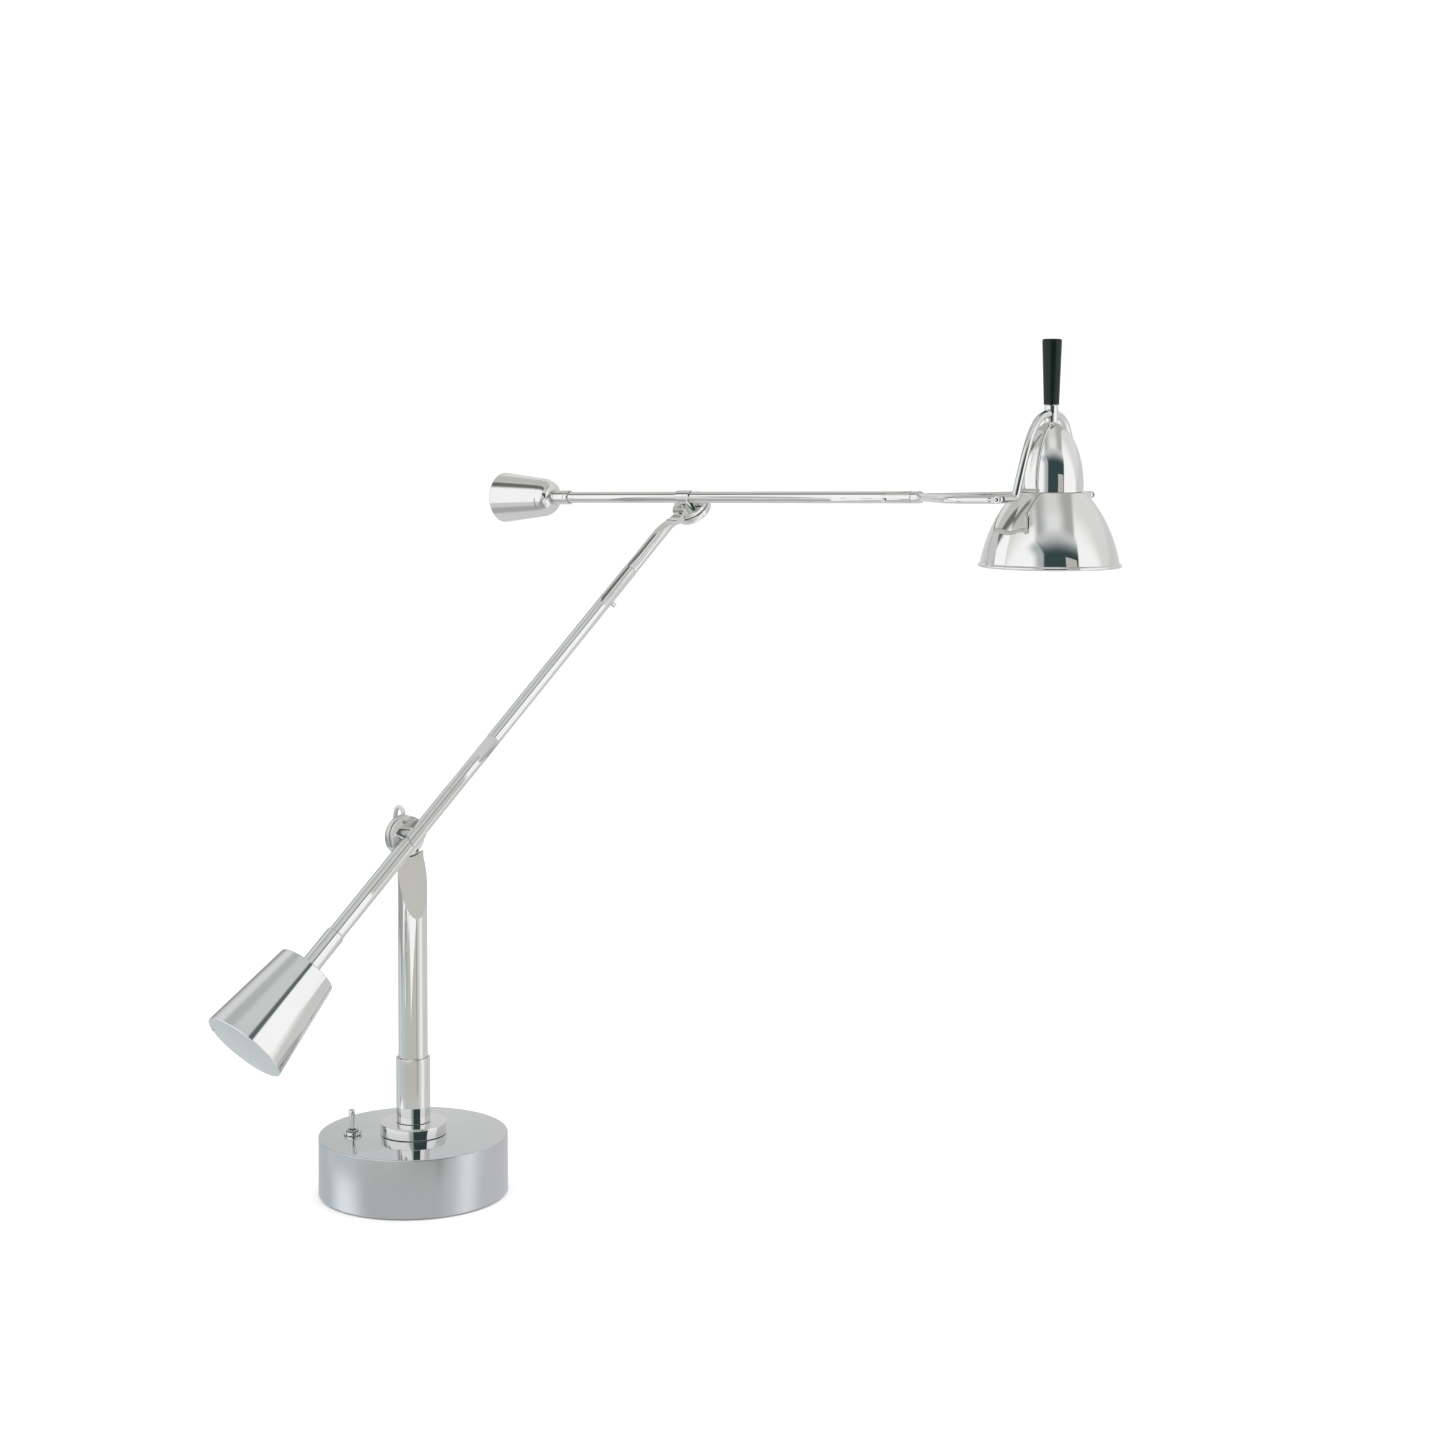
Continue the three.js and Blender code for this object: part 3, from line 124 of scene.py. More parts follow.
def mesh_of(verts, faces):
    """A mesh in metres from points in millimetres, its faces outward."""
    mesh = bpy.data.meshes.new("piece")
    mesh.from_pydata([Vector(v) * MM for v in verts], [], faces)
    bm = bmesh.new()
    bm.from_mesh(mesh)
    bmesh.ops.recalc_face_normals(bm, faces=bm.faces)
    bm.to_mesh(mesh)
    bm.free()
    return mesh


def turned(profile, sides=SIDES, closed=False, turn=None):
    """A turned solid about Z from profile points [radius, height, corner radius]."""
    verts, faces, rings = [], [], []
    for radius, height in rounded(profile, closed):
        count = 1 if radius < 1e-6 else sides
        rings.append([len(verts) + k for k in range(count)])
        for k in range(count):
            angle = 2 * math.pi * k / sides
            verts.append((radius * math.cos(angle), radius * math.sin(angle), height))
    pairs = list(zip(rings, rings[1:])) + ([(rings[-1], rings[0])] if closed else [])
    for low, high in pairs:
        for k in range(sides):
            a, b = low[k % len(low)], low[(k + 1) % len(low)]
            c, d = high[(k + 1) % len(high)], high[k % len(high)]
            face = list(dict.fromkeys((a, b, c, d)))
            if len(face) > 2:
                faces.append(face)
    mesh = mesh_of(verts, faces)
    if turn:
        mesh.transform(turn)
    return mesh


def rod(diameter, start, end, edge=0.0, sides=SMALL_SIDES, turn=None):
    """A solid rod along Z, or along Y with turn=ACROSS, its rims rounded by edge."""
    radius = diameter / 2
    profile = [(0, start), (radius, start, edge), (radius, end, edge), (0, end)]
    return turned(profile, sides, turn=turn)


def pipe(diameter, bore, start, end, edge=0.0, sides=SIDES, turn=None):
    """A tube along Z, or along Y with turn=ACROSS, its outer rims rounded by edge."""
    outer = diameter / 2
    inner = bore / 2
    profile = [(inner, start), (outer, start, edge), (outer, end, edge), (inner, end)]
    return turned(profile, sides, closed=True, turn=turn)


def shifted(mesh, x=0.0, y=0.0, z=0.0):
    """The mesh moved by millimetres."""
    mesh.transform(Matrix.Translation((x * MM, y * MM, z * MM)))
    return mesh


def box(size, centre):
    """A plain block."""
    half = Vector(size) / 2
    verts = [(centre[0] + sx * half.x, centre[1] + sy * half.y, centre[2] + sz * half.z)
             for sx in (-1, 1) for sy in (-1, 1) for sz in (-1, 1)]
    faces = [(0, 1, 3, 2), (4, 6, 7, 5), (0, 4, 5, 1), (2, 3, 7, 6), (0, 2, 6, 4), (1, 5, 7, 3)]
    return mesh_of(verts, faces)


def prism_x(outline, width):
    """An outline of (y, z) points carried across X."""
    count = len(outline)
    verts = [(s * width / 2, y, z) for s in (-1, 1) for y, z in outline]
    faces = [list(range(count)), list(range(2 * count - 1, count - 1, -1))]
    for k in range(count):
        n = (k + 1) % count
        faces.append((k, k + count, n + count, n))
    return mesh_of(verts, faces)


def smooth_path(corners, bend, steps):
    """Points along straight runs whose corners are eased over about the given radius."""
    points = [Vector(corners[0])]
    for before, here, after in zip(corners, corners[1:], corners[2:]):
        here = Vector(here)
        a, b = Vector(before) - here, Vector(after) - here
        half = a.angle(b) / 2
        taken = min(bend / math.tan(half), CORNER_SHARE * min(a.length, b.length))
        start = here + a.normalized() * taken
        end = here + b.normalized() * taken
        for k in range(steps + 1):
            t = k / steps
            points.append((1 - t) ** 2 * start + 2 * t * (1 - t) * here + t * t * end)
    points.append(Vector(corners[-1]))
    return points


def bezier(a, b, c, d, steps):
    """Points along a cubic curve from a to d."""
    a, b, c, d = map(Vector, (a, b, c, d))
    out = []
    for k in range(steps + 1):
        t = k / steps
        s = 1 - t
        out.append(s ** 3 * a + 3 * s * s * t * b + 3 * s * t * t * c + t ** 3 * d)
    return out


def through(points, steps=10):
    """A Catmull-Rom curve through the points."""
    points = [Vector(p) for p in points]
    points = [2 * points[0] - points[1]] + points + [2 * points[-1] - points[-2]]
    out = []
    for a, b, c, d in zip(points, points[1:], points[2:], points[3:]):
        for k in range(steps):
            t = k / steps
            out.append(0.5 * (2 * b + (c - a) * t + (2 * a - 5 * b + 4 * c - d) * t * t
                              + (3 * b - a - 3 * c + d) * t ** 3))
    out.append(points[-2])
    return out


def swept(path, diameter, sides, domed=False):
    """A round rod along a path, its section carried without twist, its far end flat or domed."""
    closest = 0.02
    spaced = [path[0]]
    for point in path[1:]:
        if (point - spaced[-1]).length > closest:
            spaced.append(point)
    shares = [1.0] * len(spaced)
    if domed:
        ahead = (spaced[-1] - spaced[-2]).normalized() * diameter / 2
        centre = spaced[-1]
        rings = 8
        for k in range(1, rings):
            spaced.append(centre + ahead * math.sin(QUARTER * k / rings))
            shares.append(math.cos(QUARTER * k / rings))
    tangents = []
    for k in range(len(spaced)):
        ahead = spaced[min(k + 1, len(spaced) - 1)]
        tangents.append((ahead - spaced[max(k - 1, 0)]).normalized())
    side = tangents[0].orthogonal().normalized()
    verts, faces = [], []
    for k, (point, tangent, share) in enumerate(zip(spaced, tangents, shares)):
        side = (side - tangent * side.dot(tangent)).normalized()
        other = tangent.cross(side)
        for n in range(sides):
            angle = 2 * math.pi * n / sides
            round_it = side * math.cos(angle) + other * math.sin(angle)
            verts.append(point + round_it * share * diameter / 2)
        if k:
            low, high = (k - 1) * sides, k * sides
            for n in range(sides):
                m = (n + 1) % sides
                faces.append((low + n, low + m, high + m, high + n))
    faces.append(list(range(sides)))
    faces.append(list(range(len(verts) - sides, len(verts))))
    return mesh_of(verts, faces)


def linked(name, data):
    """A new object in the scene."""
    obj = bpy.data.objects.new(name, data)
    bpy.context.scene.collection.objects.link(obj)
    return obj


def applied(body, *tools):
    """A body's mesh after its modifiers. The body and its tools are taken away."""
    graph = bpy.context.evaluated_depsgraph_get()
    result = bpy.data.meshes.new_from_object(body.evaluated_get(graph))
    for obj in (body, *tools):
        bpy.data.objects.remove(obj)
    return result


def combined(base, others, operation):
    """The base joined with, cut by or limited to each of the other meshes."""
    body = linked("combined", base)
    tools = []
    for other in others:
        tool = linked("tool", other)
        step = body.modifiers.new("step", "BOOLEAN")
        step.operation = operation
        step.object = tool
        step.solver = "EXACT"
        tools.append(tool)
    return applied(body, *tools)


def joined(base, *others):
    """One mesh made of all of them."""
    return combined(base, others, "UNION")


def cut(base, *others):
    """The base without what the others fill."""
    return combined(base, others, "DIFFERENCE")


def common(base, other):
    """What the two have in common."""
    return combined(base, [other], "INTERSECT")


def bevelled(mesh, width, angle=30):
    """The mesh with its sharp edges broken: those that turn by more than the angle."""
    body = linked("bevelled", mesh)
    step = body.modifiers.new("edge", "BEVEL")
    step.width = width * MM
    step.segments = 2
    step.limit_method = "ANGLE"
    step.angle_limit = angle * DEG
    return applied(body)


SAME_POINT = 2e-6  # points closer than this, in metres, are one


def piece(name, mesh, place, body, slot, *nodes, sharp=22):
    """A finished piece: placed, shaded, riding on its body and standing for its CAD nodes."""
    bm = bmesh.new()
    bm.from_mesh(mesh)
    bmesh.ops.remove_doubles(bm, verts=bm.verts, dist=SAME_POINT)
    bmesh.ops.dissolve_degenerate(bm, edges=bm.edges, dist=SAME_POINT / 2)
    bm.to_mesh(mesh)
    bm.free()
    mesh.shade_smooth()
    mesh.set_sharp_from_angle(angle=sharp * DEG)
    mesh.name = name
    mesh.materials.clear()
    mesh.materials.append(LOOK[slot])
    mesh.transform(place)
    obj = linked(name, mesh)
    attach(obj, body)
    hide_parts(*nodes)
    return obj


# ---------- materials
# The middle part of a noise pattern, where most of its values lie
NOISE_LOW = 0.3
NOISE_HIGH = 0.7


def new_material(name):
    """A material with its nodes, its links and its shader."""
    material = bpy.data.materials.new(name)
    material.use_nodes = True
    nodes = material.node_tree.nodes
    return material, nodes, material.node_tree.links, nodes["Principled BSDF"]


def noise(nodes, links, stretch, scale, detail):
    """A noise pattern in the piece's own space, stretched along its axes."""
    where = nodes.new("ShaderNodeTexCoord")
    mapping = nodes.new("ShaderNodeMapping")
    mapping.inputs["Scale"].default_value = stretch
    texture = nodes.new("ShaderNodeTexNoise")
    texture.inputs["Scale"].default_value = scale
    texture.inputs["Detail"].default_value = detail
    links.new(where.outputs["Object"], mapping.inputs["Vector"])
    links.new(mapping.outputs["Vector"], texture.inputs["Vector"])
    return texture.outputs["Fac"]


def ranged(nodes, links, value, low, high):
    """A noise pattern stretched out from low to high."""
    node = nodes.new("ShaderNodeMapRange")
    node.inputs["From Min"].default_value = NOISE_LOW
    node.inputs["From Max"].default_value = NOISE_HIGH
    node.inputs["To Min"].default_value = low
    node.inputs["To Max"].default_value = high
    links.new(value, node.inputs["Value"])
    return node.outputs["Result"]


def tinted(nodes, links, value, dark, light):
    """A colour between dark and light. The mix node's colour sockets go by number."""
    first, second, result = 6, 7, 2
    node = nodes.new("ShaderNodeMix")
    node.data_type = "RGBA"
    node.inputs[first].default_value = (*dark, 1)
    node.inputs[second].default_value = (*light, 1)
    links.new(value, node.inputs["Factor"])
    return node.outputs[result]


def bumped(nodes, links, value, strength, distance):
    """A surface roughened by a noise pattern."""
    node = nodes.new("ShaderNodeBump")
    node.inputs["Strength"].default_value = strength
    node.inputs["Distance"].default_value = distance
    links.new(value, node.inputs["Height"])
    return node.outputs["Normal"]


LOOK = {}


def finish(name, dark, light, rough, *, metallic=0.0, stretch=(1, 1, 1), scale=300.0,
           bump=0.0, depth=1e-5, clouds=14.0, sockets=None):
    """A finish whose colour drifts in clouds and whose roughness and bump follow a grain."""
    material, nodes, links, shader = new_material(name)
    shader.inputs["Metallic"].default_value = metallic
    for socket, value in (sockets or {}).items():
        shader.inputs[socket].default_value = value
    cloud = noise(nodes, links, (1, 1, 1), clouds, 3)
    grain = noise(nodes, links, stretch, scale, 6)
    fine = noise(nodes, links, stretch, scale * 3, 3)
    even = ranged(nodes, links, cloud, 0, 1)
    links.new(tinted(nodes, links, even, dark, light), shader.inputs["Base Color"])
    links.new(ranged(nodes, links, grain, *rough), shader.inputs["Roughness"])
    if bump:
        links.new(bumped(nodes, links, fine, bump, depth), shader.inputs["Normal"])
    LOOK[name] = material
    return material


finish("polished_nickel", (0.765, 0.765, 0.75), (0.80, 0.80, 0.785), (0.015, 0.045),
       metallic=1.0, scale=160.0)
finish("satin_nickel", (0.61, 0.625, 0.65), (0.65, 0.665, 0.69), (0.2, 0.27), metallic=1.0,
       stretch=(1, 1, 40), scale=70.0, bump=0.05, depth=4e-6)
finish("steel", (0.42, 0.42, 0.43), (0.52, 0.52, 0.52), (0.2, 0.42), metallic=1.0, scale=240.0,
       bump=0.1)
finish("ballast_iron", (0.09, 0.09, 0.095), (0.15, 0.15, 0.15), (0.55, 0.85), metallic=0.7,
       scale=190.0, bump=0.7, depth=1e-4)
finish("felt", (0.012, 0.02, 0.018), (0.03, 0.045, 0.04), (0.85, 1.0), scale=900.0, bump=0.9,
       depth=1.5e-4, clouds=90.0, sockets={"Sheen Weight": 0.5})
finish("black_plastic", (0.012, 0.012, 0.013), (0.02, 0.02, 0.021), (0.32, 0.5), scale=900.0,
       bump=0.2)
finish("handle_black", (0.0025, 0.0075, 0.007), (0.0035, 0.010, 0.0095), (0.22, 0.28), scale=60.0,
       clouds=40.0, sockets={"IOR": 1.36})
finish("fibre", (0.03, 0.022, 0.018), (0.06, 0.045, 0.035), (0.6, 0.85), stretch=(1, 1, 6),
       scale=1500.0, bump=0.5, depth=4e-5)
finish("cable_grey", (0.42, 0.42, 0.43), (0.50, 0.50, 0.51), (0.3, 0.42), scale=700.0, bump=0.1)
finish("ceramic", (0.78, 0.76, 0.71), (0.84, 0.82, 0.78), (0.1, 0.22), scale=260.0, bump=0.05,
       clouds=50.0, sockets={"Coat Weight": 0.5})
finish("bulb_glass", (0.88, 0.87, 0.84), (0.93, 0.92, 0.9), (0.12, 0.2), scale=120.0, clouds=30.0,
       sockets={"Coat Weight": 0.6, "Subsurface Weight": 0.2})
# The shell's top face has a finish of its own, within the shell's slot
finish("base_top", (0.65, 0.66, 0.67), (0.69, 0.70, 0.705), (0.035, 0.06), metallic=1.0,
       scale=260.0)

# ---------- base
# All sizes and places of the parts are in millimetres, as in the solids
BASE_R = 80.0
BASE_TOP = 50.0
SHELL_WALL = 3.0
SHELL_ROOF = 4.0
SHELL_FOOT = 0.8
SWITCH_AT = (-51.0, -6.0)
BUSHING_HOLE = 11.6
GLAND_Z = 18.0
GLAND_HOLE = 8.6
STEM_D = 12.0


def base_shell():
    """The drum shell: satin round its side, polished on top."""
    inner = BASE_R - SHELL_WALL
    roof = BASE_TOP - SHELL_ROOF
    hole = STEM_D / 2 + GAP
    shell = turned([(hole, roof), (inner, roof, 1.0), (inner, SHELL_FOOT, 0.3),
                    (BASE_R, SHELL_FOOT, 0.8), (BASE_R, BASE_TOP, 0.9), (hole, BASE_TOP)],
                   sides=160, closed=True)
    bushing = shifted(rod(BUSHING_HOLE, roof - 2, BASE_TOP + 2), *SWITCH_AT)
    gland = shifted(rod(GLAND_HOLE, inner - PAST, BASE_R + PAST, turn=ACROSS), 0, 0, GLAND_Z)
    obj = piece("base_shell_finish", cut(shell, bushing, gland), BASE, "base_body",
                "satin_nickel", "base_shell")
    obj.data.materials.append(LOOK["base_top"])
    for face in obj.data.polygons:
        if face.normal.z > 0.7 and face.center.z > (roof + 1) * MM:
            face.material_index = 1


def base_bits():
    """The felt under the base and the cable gland at the back."""
    felt = rod(150, 0, 1.4, 0.5, SIDES)
    piece("felt_finish", felt, BASE, "base_body", "felt", "felt_pad")
    seat = BASE_R + GAP
    flange = [(2.5, seat - 9), (4, seat - 9), (4, seat), (6, seat, 0.2), (6, seat + 1.3, 0.6),
              (4.6, seat + 2, 0.3), (2.5, seat + 2, 0.4)]
    gland = turned(flange, 48, closed=True, turn=ACROSS)
    piece("gland_finish", shifted(gland, 0, 0, GLAND_Z), BASE, "base_body", "black_plastic",
          "cable_gland")


def base_switch():
    """The toggle: a block with its threaded bushing, the dress nut and the bat lever."""
    roof = BASE_TOP - SHELL_ROOF - GAP
    rim = BASE_TOP + 4.4
    thread = [(3.2, rim - 8), (5.3, roof - 1)]
    ridges = 14
    start = BASE_TOP - 2
    stop = rim - 0.4
    for k in range(ridges):
        z = start + (stop - start) * k / ridges
        thread += [(5.1, z), (5.5, z + (stop - start) / ridges / 2)]
    thread += [(5.1, stop), (4.9, rim, 0.15), (3.2, rim, 0.2)]
    bushing = shifted(turned(thread, 48, closed=True), *SWITCH_AT)
    block = box((13, 13, 12), (*SWITCH_AT, roof - 6))
    well = shifted(rod(6.4, rim - 8, roof + 5), *SWITCH_AT)
    body = joined(cut(block, well), bushing)
    piece("switch_bushing", body, BASE, "base_body", "steel", "switch_body")
    low = BASE_TOP + GAP
    nut_d = 15
    nut = pipe(nut_d, BUSHING_HOLE, low, low + 3, 0.5, 72)
    notches = []
    for k in range(6):
        notch = shifted(rod(2.6, low - 1, low + 4, sides=24), nut_d / 2)
        notch.transform(Matrix.Rotation(k * math.pi / 3, 4, "Z"))
        notches.append(notch)
    nut = bevelled(cut(nut, *notches), 0.15)
    piece("switch_dress_nut", shifted(nut, *SWITCH_AT), BASE, "base_body", NICKEL,
          "switch_nut")
    lever = [(0, -2.5), (2.0, -1.6, 1.2), (2.4, 0.6, 1.2), (1.7, 2.4, 1.0), (1.75, 6), (2.9, 18.6),
             (3.0, 20.2, 1.2), (2.2, 21.7, 1.2), (0, 22.0)]
    piece("switch_bat", turned(lever, 48), LEVER, "lever_body", NICKEL, "switch_lever",
          sharp=60)


# ---------- post
COLLAR_LOW = BASE_TOP + GAP
COLLAR_TOP = COLLAR_LOW + 10
SLEEVE_LOW = COLLAR_TOP + GAP
SLEEVE_TOP = 116.0
POST_D = 25.0
PIVOT_Z = joint_at("shoulder_tilt").z / MM
POST_FACE = 4.9  # where the shoulder's front disc starts, across Y
DISC_D = 34.5
DISC_CLEAR = DISC_D / 2 + 2 * GAP
FRONT_T = 4.0  # thickness of a joint's front disc
REAR_T = 6.0  # and of its rear disc
BETWEEN = 1.0  # washer and its gaps, between the two discs
STUD_D = 9.0
CABLE_D = 4.0
CABLE_HOLE = 4.6


def post_foot():
    """The collar, and the fixed sleeve with its stem."""
    collar = pipe(56, STEM_D + 2 * GAP, COLLAR_LOW, COLLAR_TOP, 0.7)
    piece("collar_finish", collar, BASE, "base_body", NICKEL, "collar")
    sleeve = [(3.5, 14), (6, 14, 0.6), (6, SLEEVE_LOW), (14.5, SLEEVE_LOW, 0.4),
              (14.5, SLEEVE_TOP, 1.0), (12.8, SLEEVE_TOP, 0.3), (12.8, SLEEVE_LOW + 6),
              (3.5, SLEEVE_LOW + 6)]
    body = turned(sleeve, closed=True)
    hole = shifted(rod(4.0, 11.5, 15.5, turn=ACROSS), 0, 0, 90)
    piece("sleeve_finish", cut(body, hole), BASE, "base_body", NICKEL, "post_sleeve")


def disc(start, thickness):
    """A joint disc across Y."""
    return rod(DISC_D, start, start + thickness, 0.7, SIDES, turn=ACROSS)


def carrier(stem, pivot, stem_d, face, flat, flat_length, flat_turn=0):
    """A stem's slanted flat, its room for the front disc and its own rear disc."""
    front = -stem_d / 2
    top = pivot - DISC_CLEAR
    slope = flat_length / (flat - front)
    slant = prism_x([(front - PAST, top - flat_length - slope * PAST), (flat, top),
                     (flat, pivot + PAST), (front - PAST, pivot + PAST)], stem_d + 2 * PAST)
    slant.transform(Matrix.Rotation(flat_turn * DEG, 4, "Z"))
    rear = face + FRONT_T + BETWEEN
    room = shifted(rod(2 * DISC_CLEAR, front - PAST, rear, sides=SIDES, turn=ACROSS), 0, 0, pivot)
    bore = rod(STUD_D + 2 * GAP, rear - PAST, rear + REAR_T + PAST, turn=ACROSS)
    whole = joined(cut(stem, slant, room), shifted(disc(rear, REAR_T), 0, 0, pivot))
    return cut(whole, shifted(bore, 0, 0, pivot))


def post():
    """The turning post: a groove low down, a flat near the top and the shoulder's rear disc."""
    outer = POST_D / 2
    bore = 4.5
    groove = outer - 1.2
    flat_length = 50
    low = SLEEVE_LOW + 8.1
    top = PIVOT_Z - DISC_CLEAR - flat_length
    stem = turned([(0, top), (bore, top), (bore, low), (outer, low, 0.5), (outer, 87.5),
                   (groove, 87.5), (groove, 92.5), (outer, 92.5), (outer, PIVOT_Z),
                   (0, PIVOT_Z)])
    body = carrier(stem, PIVOT_Z, POST_D, POST_FACE, 4.6, flat_length, -17)
    rim = PIVOT_Z + DISC_D / 2
    hole = shifted(rod(CABLE_HOLE, rim - 7, rim + 2), 0, POST_FACE + FRONT_T + BETWEEN + REAR_T / 2)
    piece("post_finish", bevelled(cut(body, hole), 0.25, 14), POST, "post_body",
          NICKEL, "post", sharp=14)


def shoulder_cable():
    """The loop of cable from the rear disc's rim, over the shoulder and into its stud."""
    start = POST_FACE + FRONT_T + BETWEEN + REAR_T / 2
    rim = DISC_D / 2
    out = 11.5
    up = 6.2
    route = [(0, rim - 6.7), (0, rim), (0.02 * out, rim + up / 2), (0.19 * out, rim + 0.87 * up),
             (out / 2, rim + up), (0.77 * out, rim + 0.7 * up), (0.93 * out, rim + 0.1 * up),
             (out, 0.65 * rim), (0.96 * out, 0.28 * rim), (0.77 * out, 0.06 * rim), (out / 2, 0),
             (0.07 * out, 0)]
    path = through([(0, start + y, PIVOT_Z + z) for y, z in route])
    piece("shoulder_cable_sheath", swept(path, CABLE_D, 24), POST, "post_body", "cable_grey",
          "shoulder_cable", sharp=60)


# ---------- disc joints
BOSS_D = 16.4
SCREW_RING = 13  # how far the small screws sit from a joint's axis


def mount(arm_d, to_face, screws):
    """Front disc, boss and saddle round an arm."""
    wall = arm_d + 2 * GAP + 2
    saddle = common(rod(wall, -BOSS_D, BOSS_D, sides=SIDES),
                    rod(BOSS_D, -arm_d, to_face, 0.3, SIDES, turn=ACROSS))
    boss = rod(BOSS_D, 0, to_face + 2, sides=SIDES, turn=ACROSS)
    body = joined(disc(to_face, FRONT_T), boss, saddle)
    seat = rod(STUD_D + 2 * GAP, to_face + 1.4, to_face + 2 * FRONT_T, turn=ACROSS)
    tools = [rod(arm_d + 2 * GAP, -DISC_D, DISC_D, sides=SIDES), seat]
    for angle in screws:
        hole = shifted(rod(2.4, -1, 2.3, turn=ACROSS), 0, to_face, SCREW_RING)
        hole.transform(Matrix.Rotation(angle * DEG, 4, "Y"))
        tools.append(hole)
    return cut(body, *tools)


def disc_joint(name, place, body, arm_d, to_face, screws):
    """A joint's mount, hollow stud, hexagon nut and small screws."""
    piece(f"{name}_mount_finish", bevelled(mount(arm_d, to_face, screws), 0.15), place, body,
          NICKEL, f"{name}_mount")
    rear = to_face + FRONT_T + BETWEEN + REAR_T + GAP
    nut_end = rear + 3
    flats = 14
    stud = pipe(STUD_D, 4.8, to_face + 1.7, nut_end, 0.4, 48, turn=ACROSS)
    piece(f"{name}_stud_finish", stud, place, body, "steel", f"{name}_stud")
    hexagon = rod(flats / math.cos(math.pi / 6), rear, nut_end, sides=6, turn=ACROSS)
    dressed = common(hexagon, rod(15.6, rear, nut_end, 0.7, turn=ACROSS))
    nut = cut(dressed, rod(STUD_D + 2 * GAP, rear - 1, rear + 4, turn=ACROSS))
    piece(f"{name}_nut_finish", bevelled(nut, 0.12), place, body, NICKEL, f"{name}_nut")
    for n, angle in enumerate(screws, 1):
        head = turned([(0, -1.3), (1.5, -1.3, 0.35), (1.5, -0.3), (0.9, -0.3), (0.9, 2), (0, 2)],
                      32, turn=ACROSS)
        slot = box((0.45, 0.9, 4), (0, -1.5, 0))
        screw = shifted(cut(head, slot), 0, to_face, SCREW_RING)
        screw.transform(Matrix.Rotation(angle * DEG, 4, "Y"))
        piece(f"{name}_disc_screw_{n}", screw, place, body, "steel", f"{name}_screw_{n}")


# ---------- arms
LOWER_D = 12.4
UPPER_D = 10.8
END_JOINT = 323.5
ELBOW_STATION = (joint_at("elbow_tilt") - joint_at("shoulder_tilt")).length / MM
SCREW_SIDE = -110 * DEG  # the side of a tube where its set screw sits
LOWER_SCREW = 287
UPPER_SCREW = 220.5


def at_side(mesh, station):
    """A set screw or its hole, brought to its place on a tube."""
    mesh.transform(Matrix.Translation((0, 0, station * MM)) @ Matrix.Rotation(SCREW_SIDE, 4, "Z"))
    return mesh


def bored(tube, tube_d, station):
    """A tube with the hole for its set screw."""
    return cut(tube, at_side(rod(3.6, 0, tube_d, turn=ACROSS), station))


def side_screw(name, place, body, station, tube_d, tip, proud, node):
    """A set screw in the side of a tube, with a hexagon socket."""
    face = tube_d / 2 + GAP
    screw = turned([(0, tip), (1.5, tip), (1.5, face), (2, face, 0.1), (2, face + proud, 0.5),
                    (0, face + proud)], 32, turn=ACROSS)
    socket = rod(2.0, face + proud - 1.0, face + proud + 1, sides=6, turn=ACROSS)
    piece(name, at_side(cut(screw, socket), station), place, body, NICKEL, node)


def lower_arm():
    """The lower arm: its tube, sleeve, cone weight, the weight's neck and a set screw."""
    place, body = LOWER, "lower_arm"
    end, top, well = -226.0, -144.5, 30
    tube = pipe(LOWER_D, LOWER_D - 3, top - well + GAP, END_JOINT - GAP, 0.25)
    piece("lower_tube", bored(tube, LOWER_D, LOWER_SCREW), place, body, NICKEL, "lower_arm_tube")
    sleeve = pipe(14.2, LOWER_D + 2 * GAP, -106.2, -8.5, 0.4)
    piece("lower_sleeve", sleeve, place, body, NICKEL, "lower_arm_sleeve")
    neck = turned([(6.5, -144.2), (8.25, -144.2, 0.2), (8.25, -106.5, 1.2), (6.5, -106.5)],
                  closed=True)
    piece("lower_neck", neck, place, body, NICKEL, "lower_weight_neck")
    weight = turned([(0, end), (36.3, end, 0.9), (26, top, 1.2), (6.5, top), (6.5, top - well),
                     (0, top - well)], 160)
    piece("lower_cone", weight, place, body, NICKEL, "lower_weight")
    side_screw("lower_side_screw", place, body, LOWER_SCREW, LOWER_D, 4.7, 3.6, "lower_set_screw")


def lower_end():
    """The lower arm's turning end: its spigot, cranked neck, small pin and rear disc."""
    stem_d = 11.8
    face = 4.5
    stem = rod(stem_d, END_JOINT, ELBOW_STATION, 0.25, SIDES)
    spigot = rod(8.8, END_JOINT - 40, END_JOINT + 1)
    rear = face + FRONT_T + BETWEEN
    path = smooth_path([(0, 0, ELBOW_STATION - 48), (0, 0, ELBOW_STATION - 28),
                        (0, rear + REAR_T - stem_d / 2, ELBOW_STATION - 8.6)], 26, 14)
    pin = rod(3, 0, 6.9, 0.4, turn=ACROSS)
    stem = joined(stem, spigot, swept(path, stem_d, SIDES), shifted(pin, 0, 0, 334))
    body = carrier(stem, ELBOW_STATION, stem_d, face, 2.6, 34)
    piece("lower_end_finish", bevelled(body, 0.2, 25), END, "arm_end", NICKEL,
          "lower_arm_end", sharp=16)


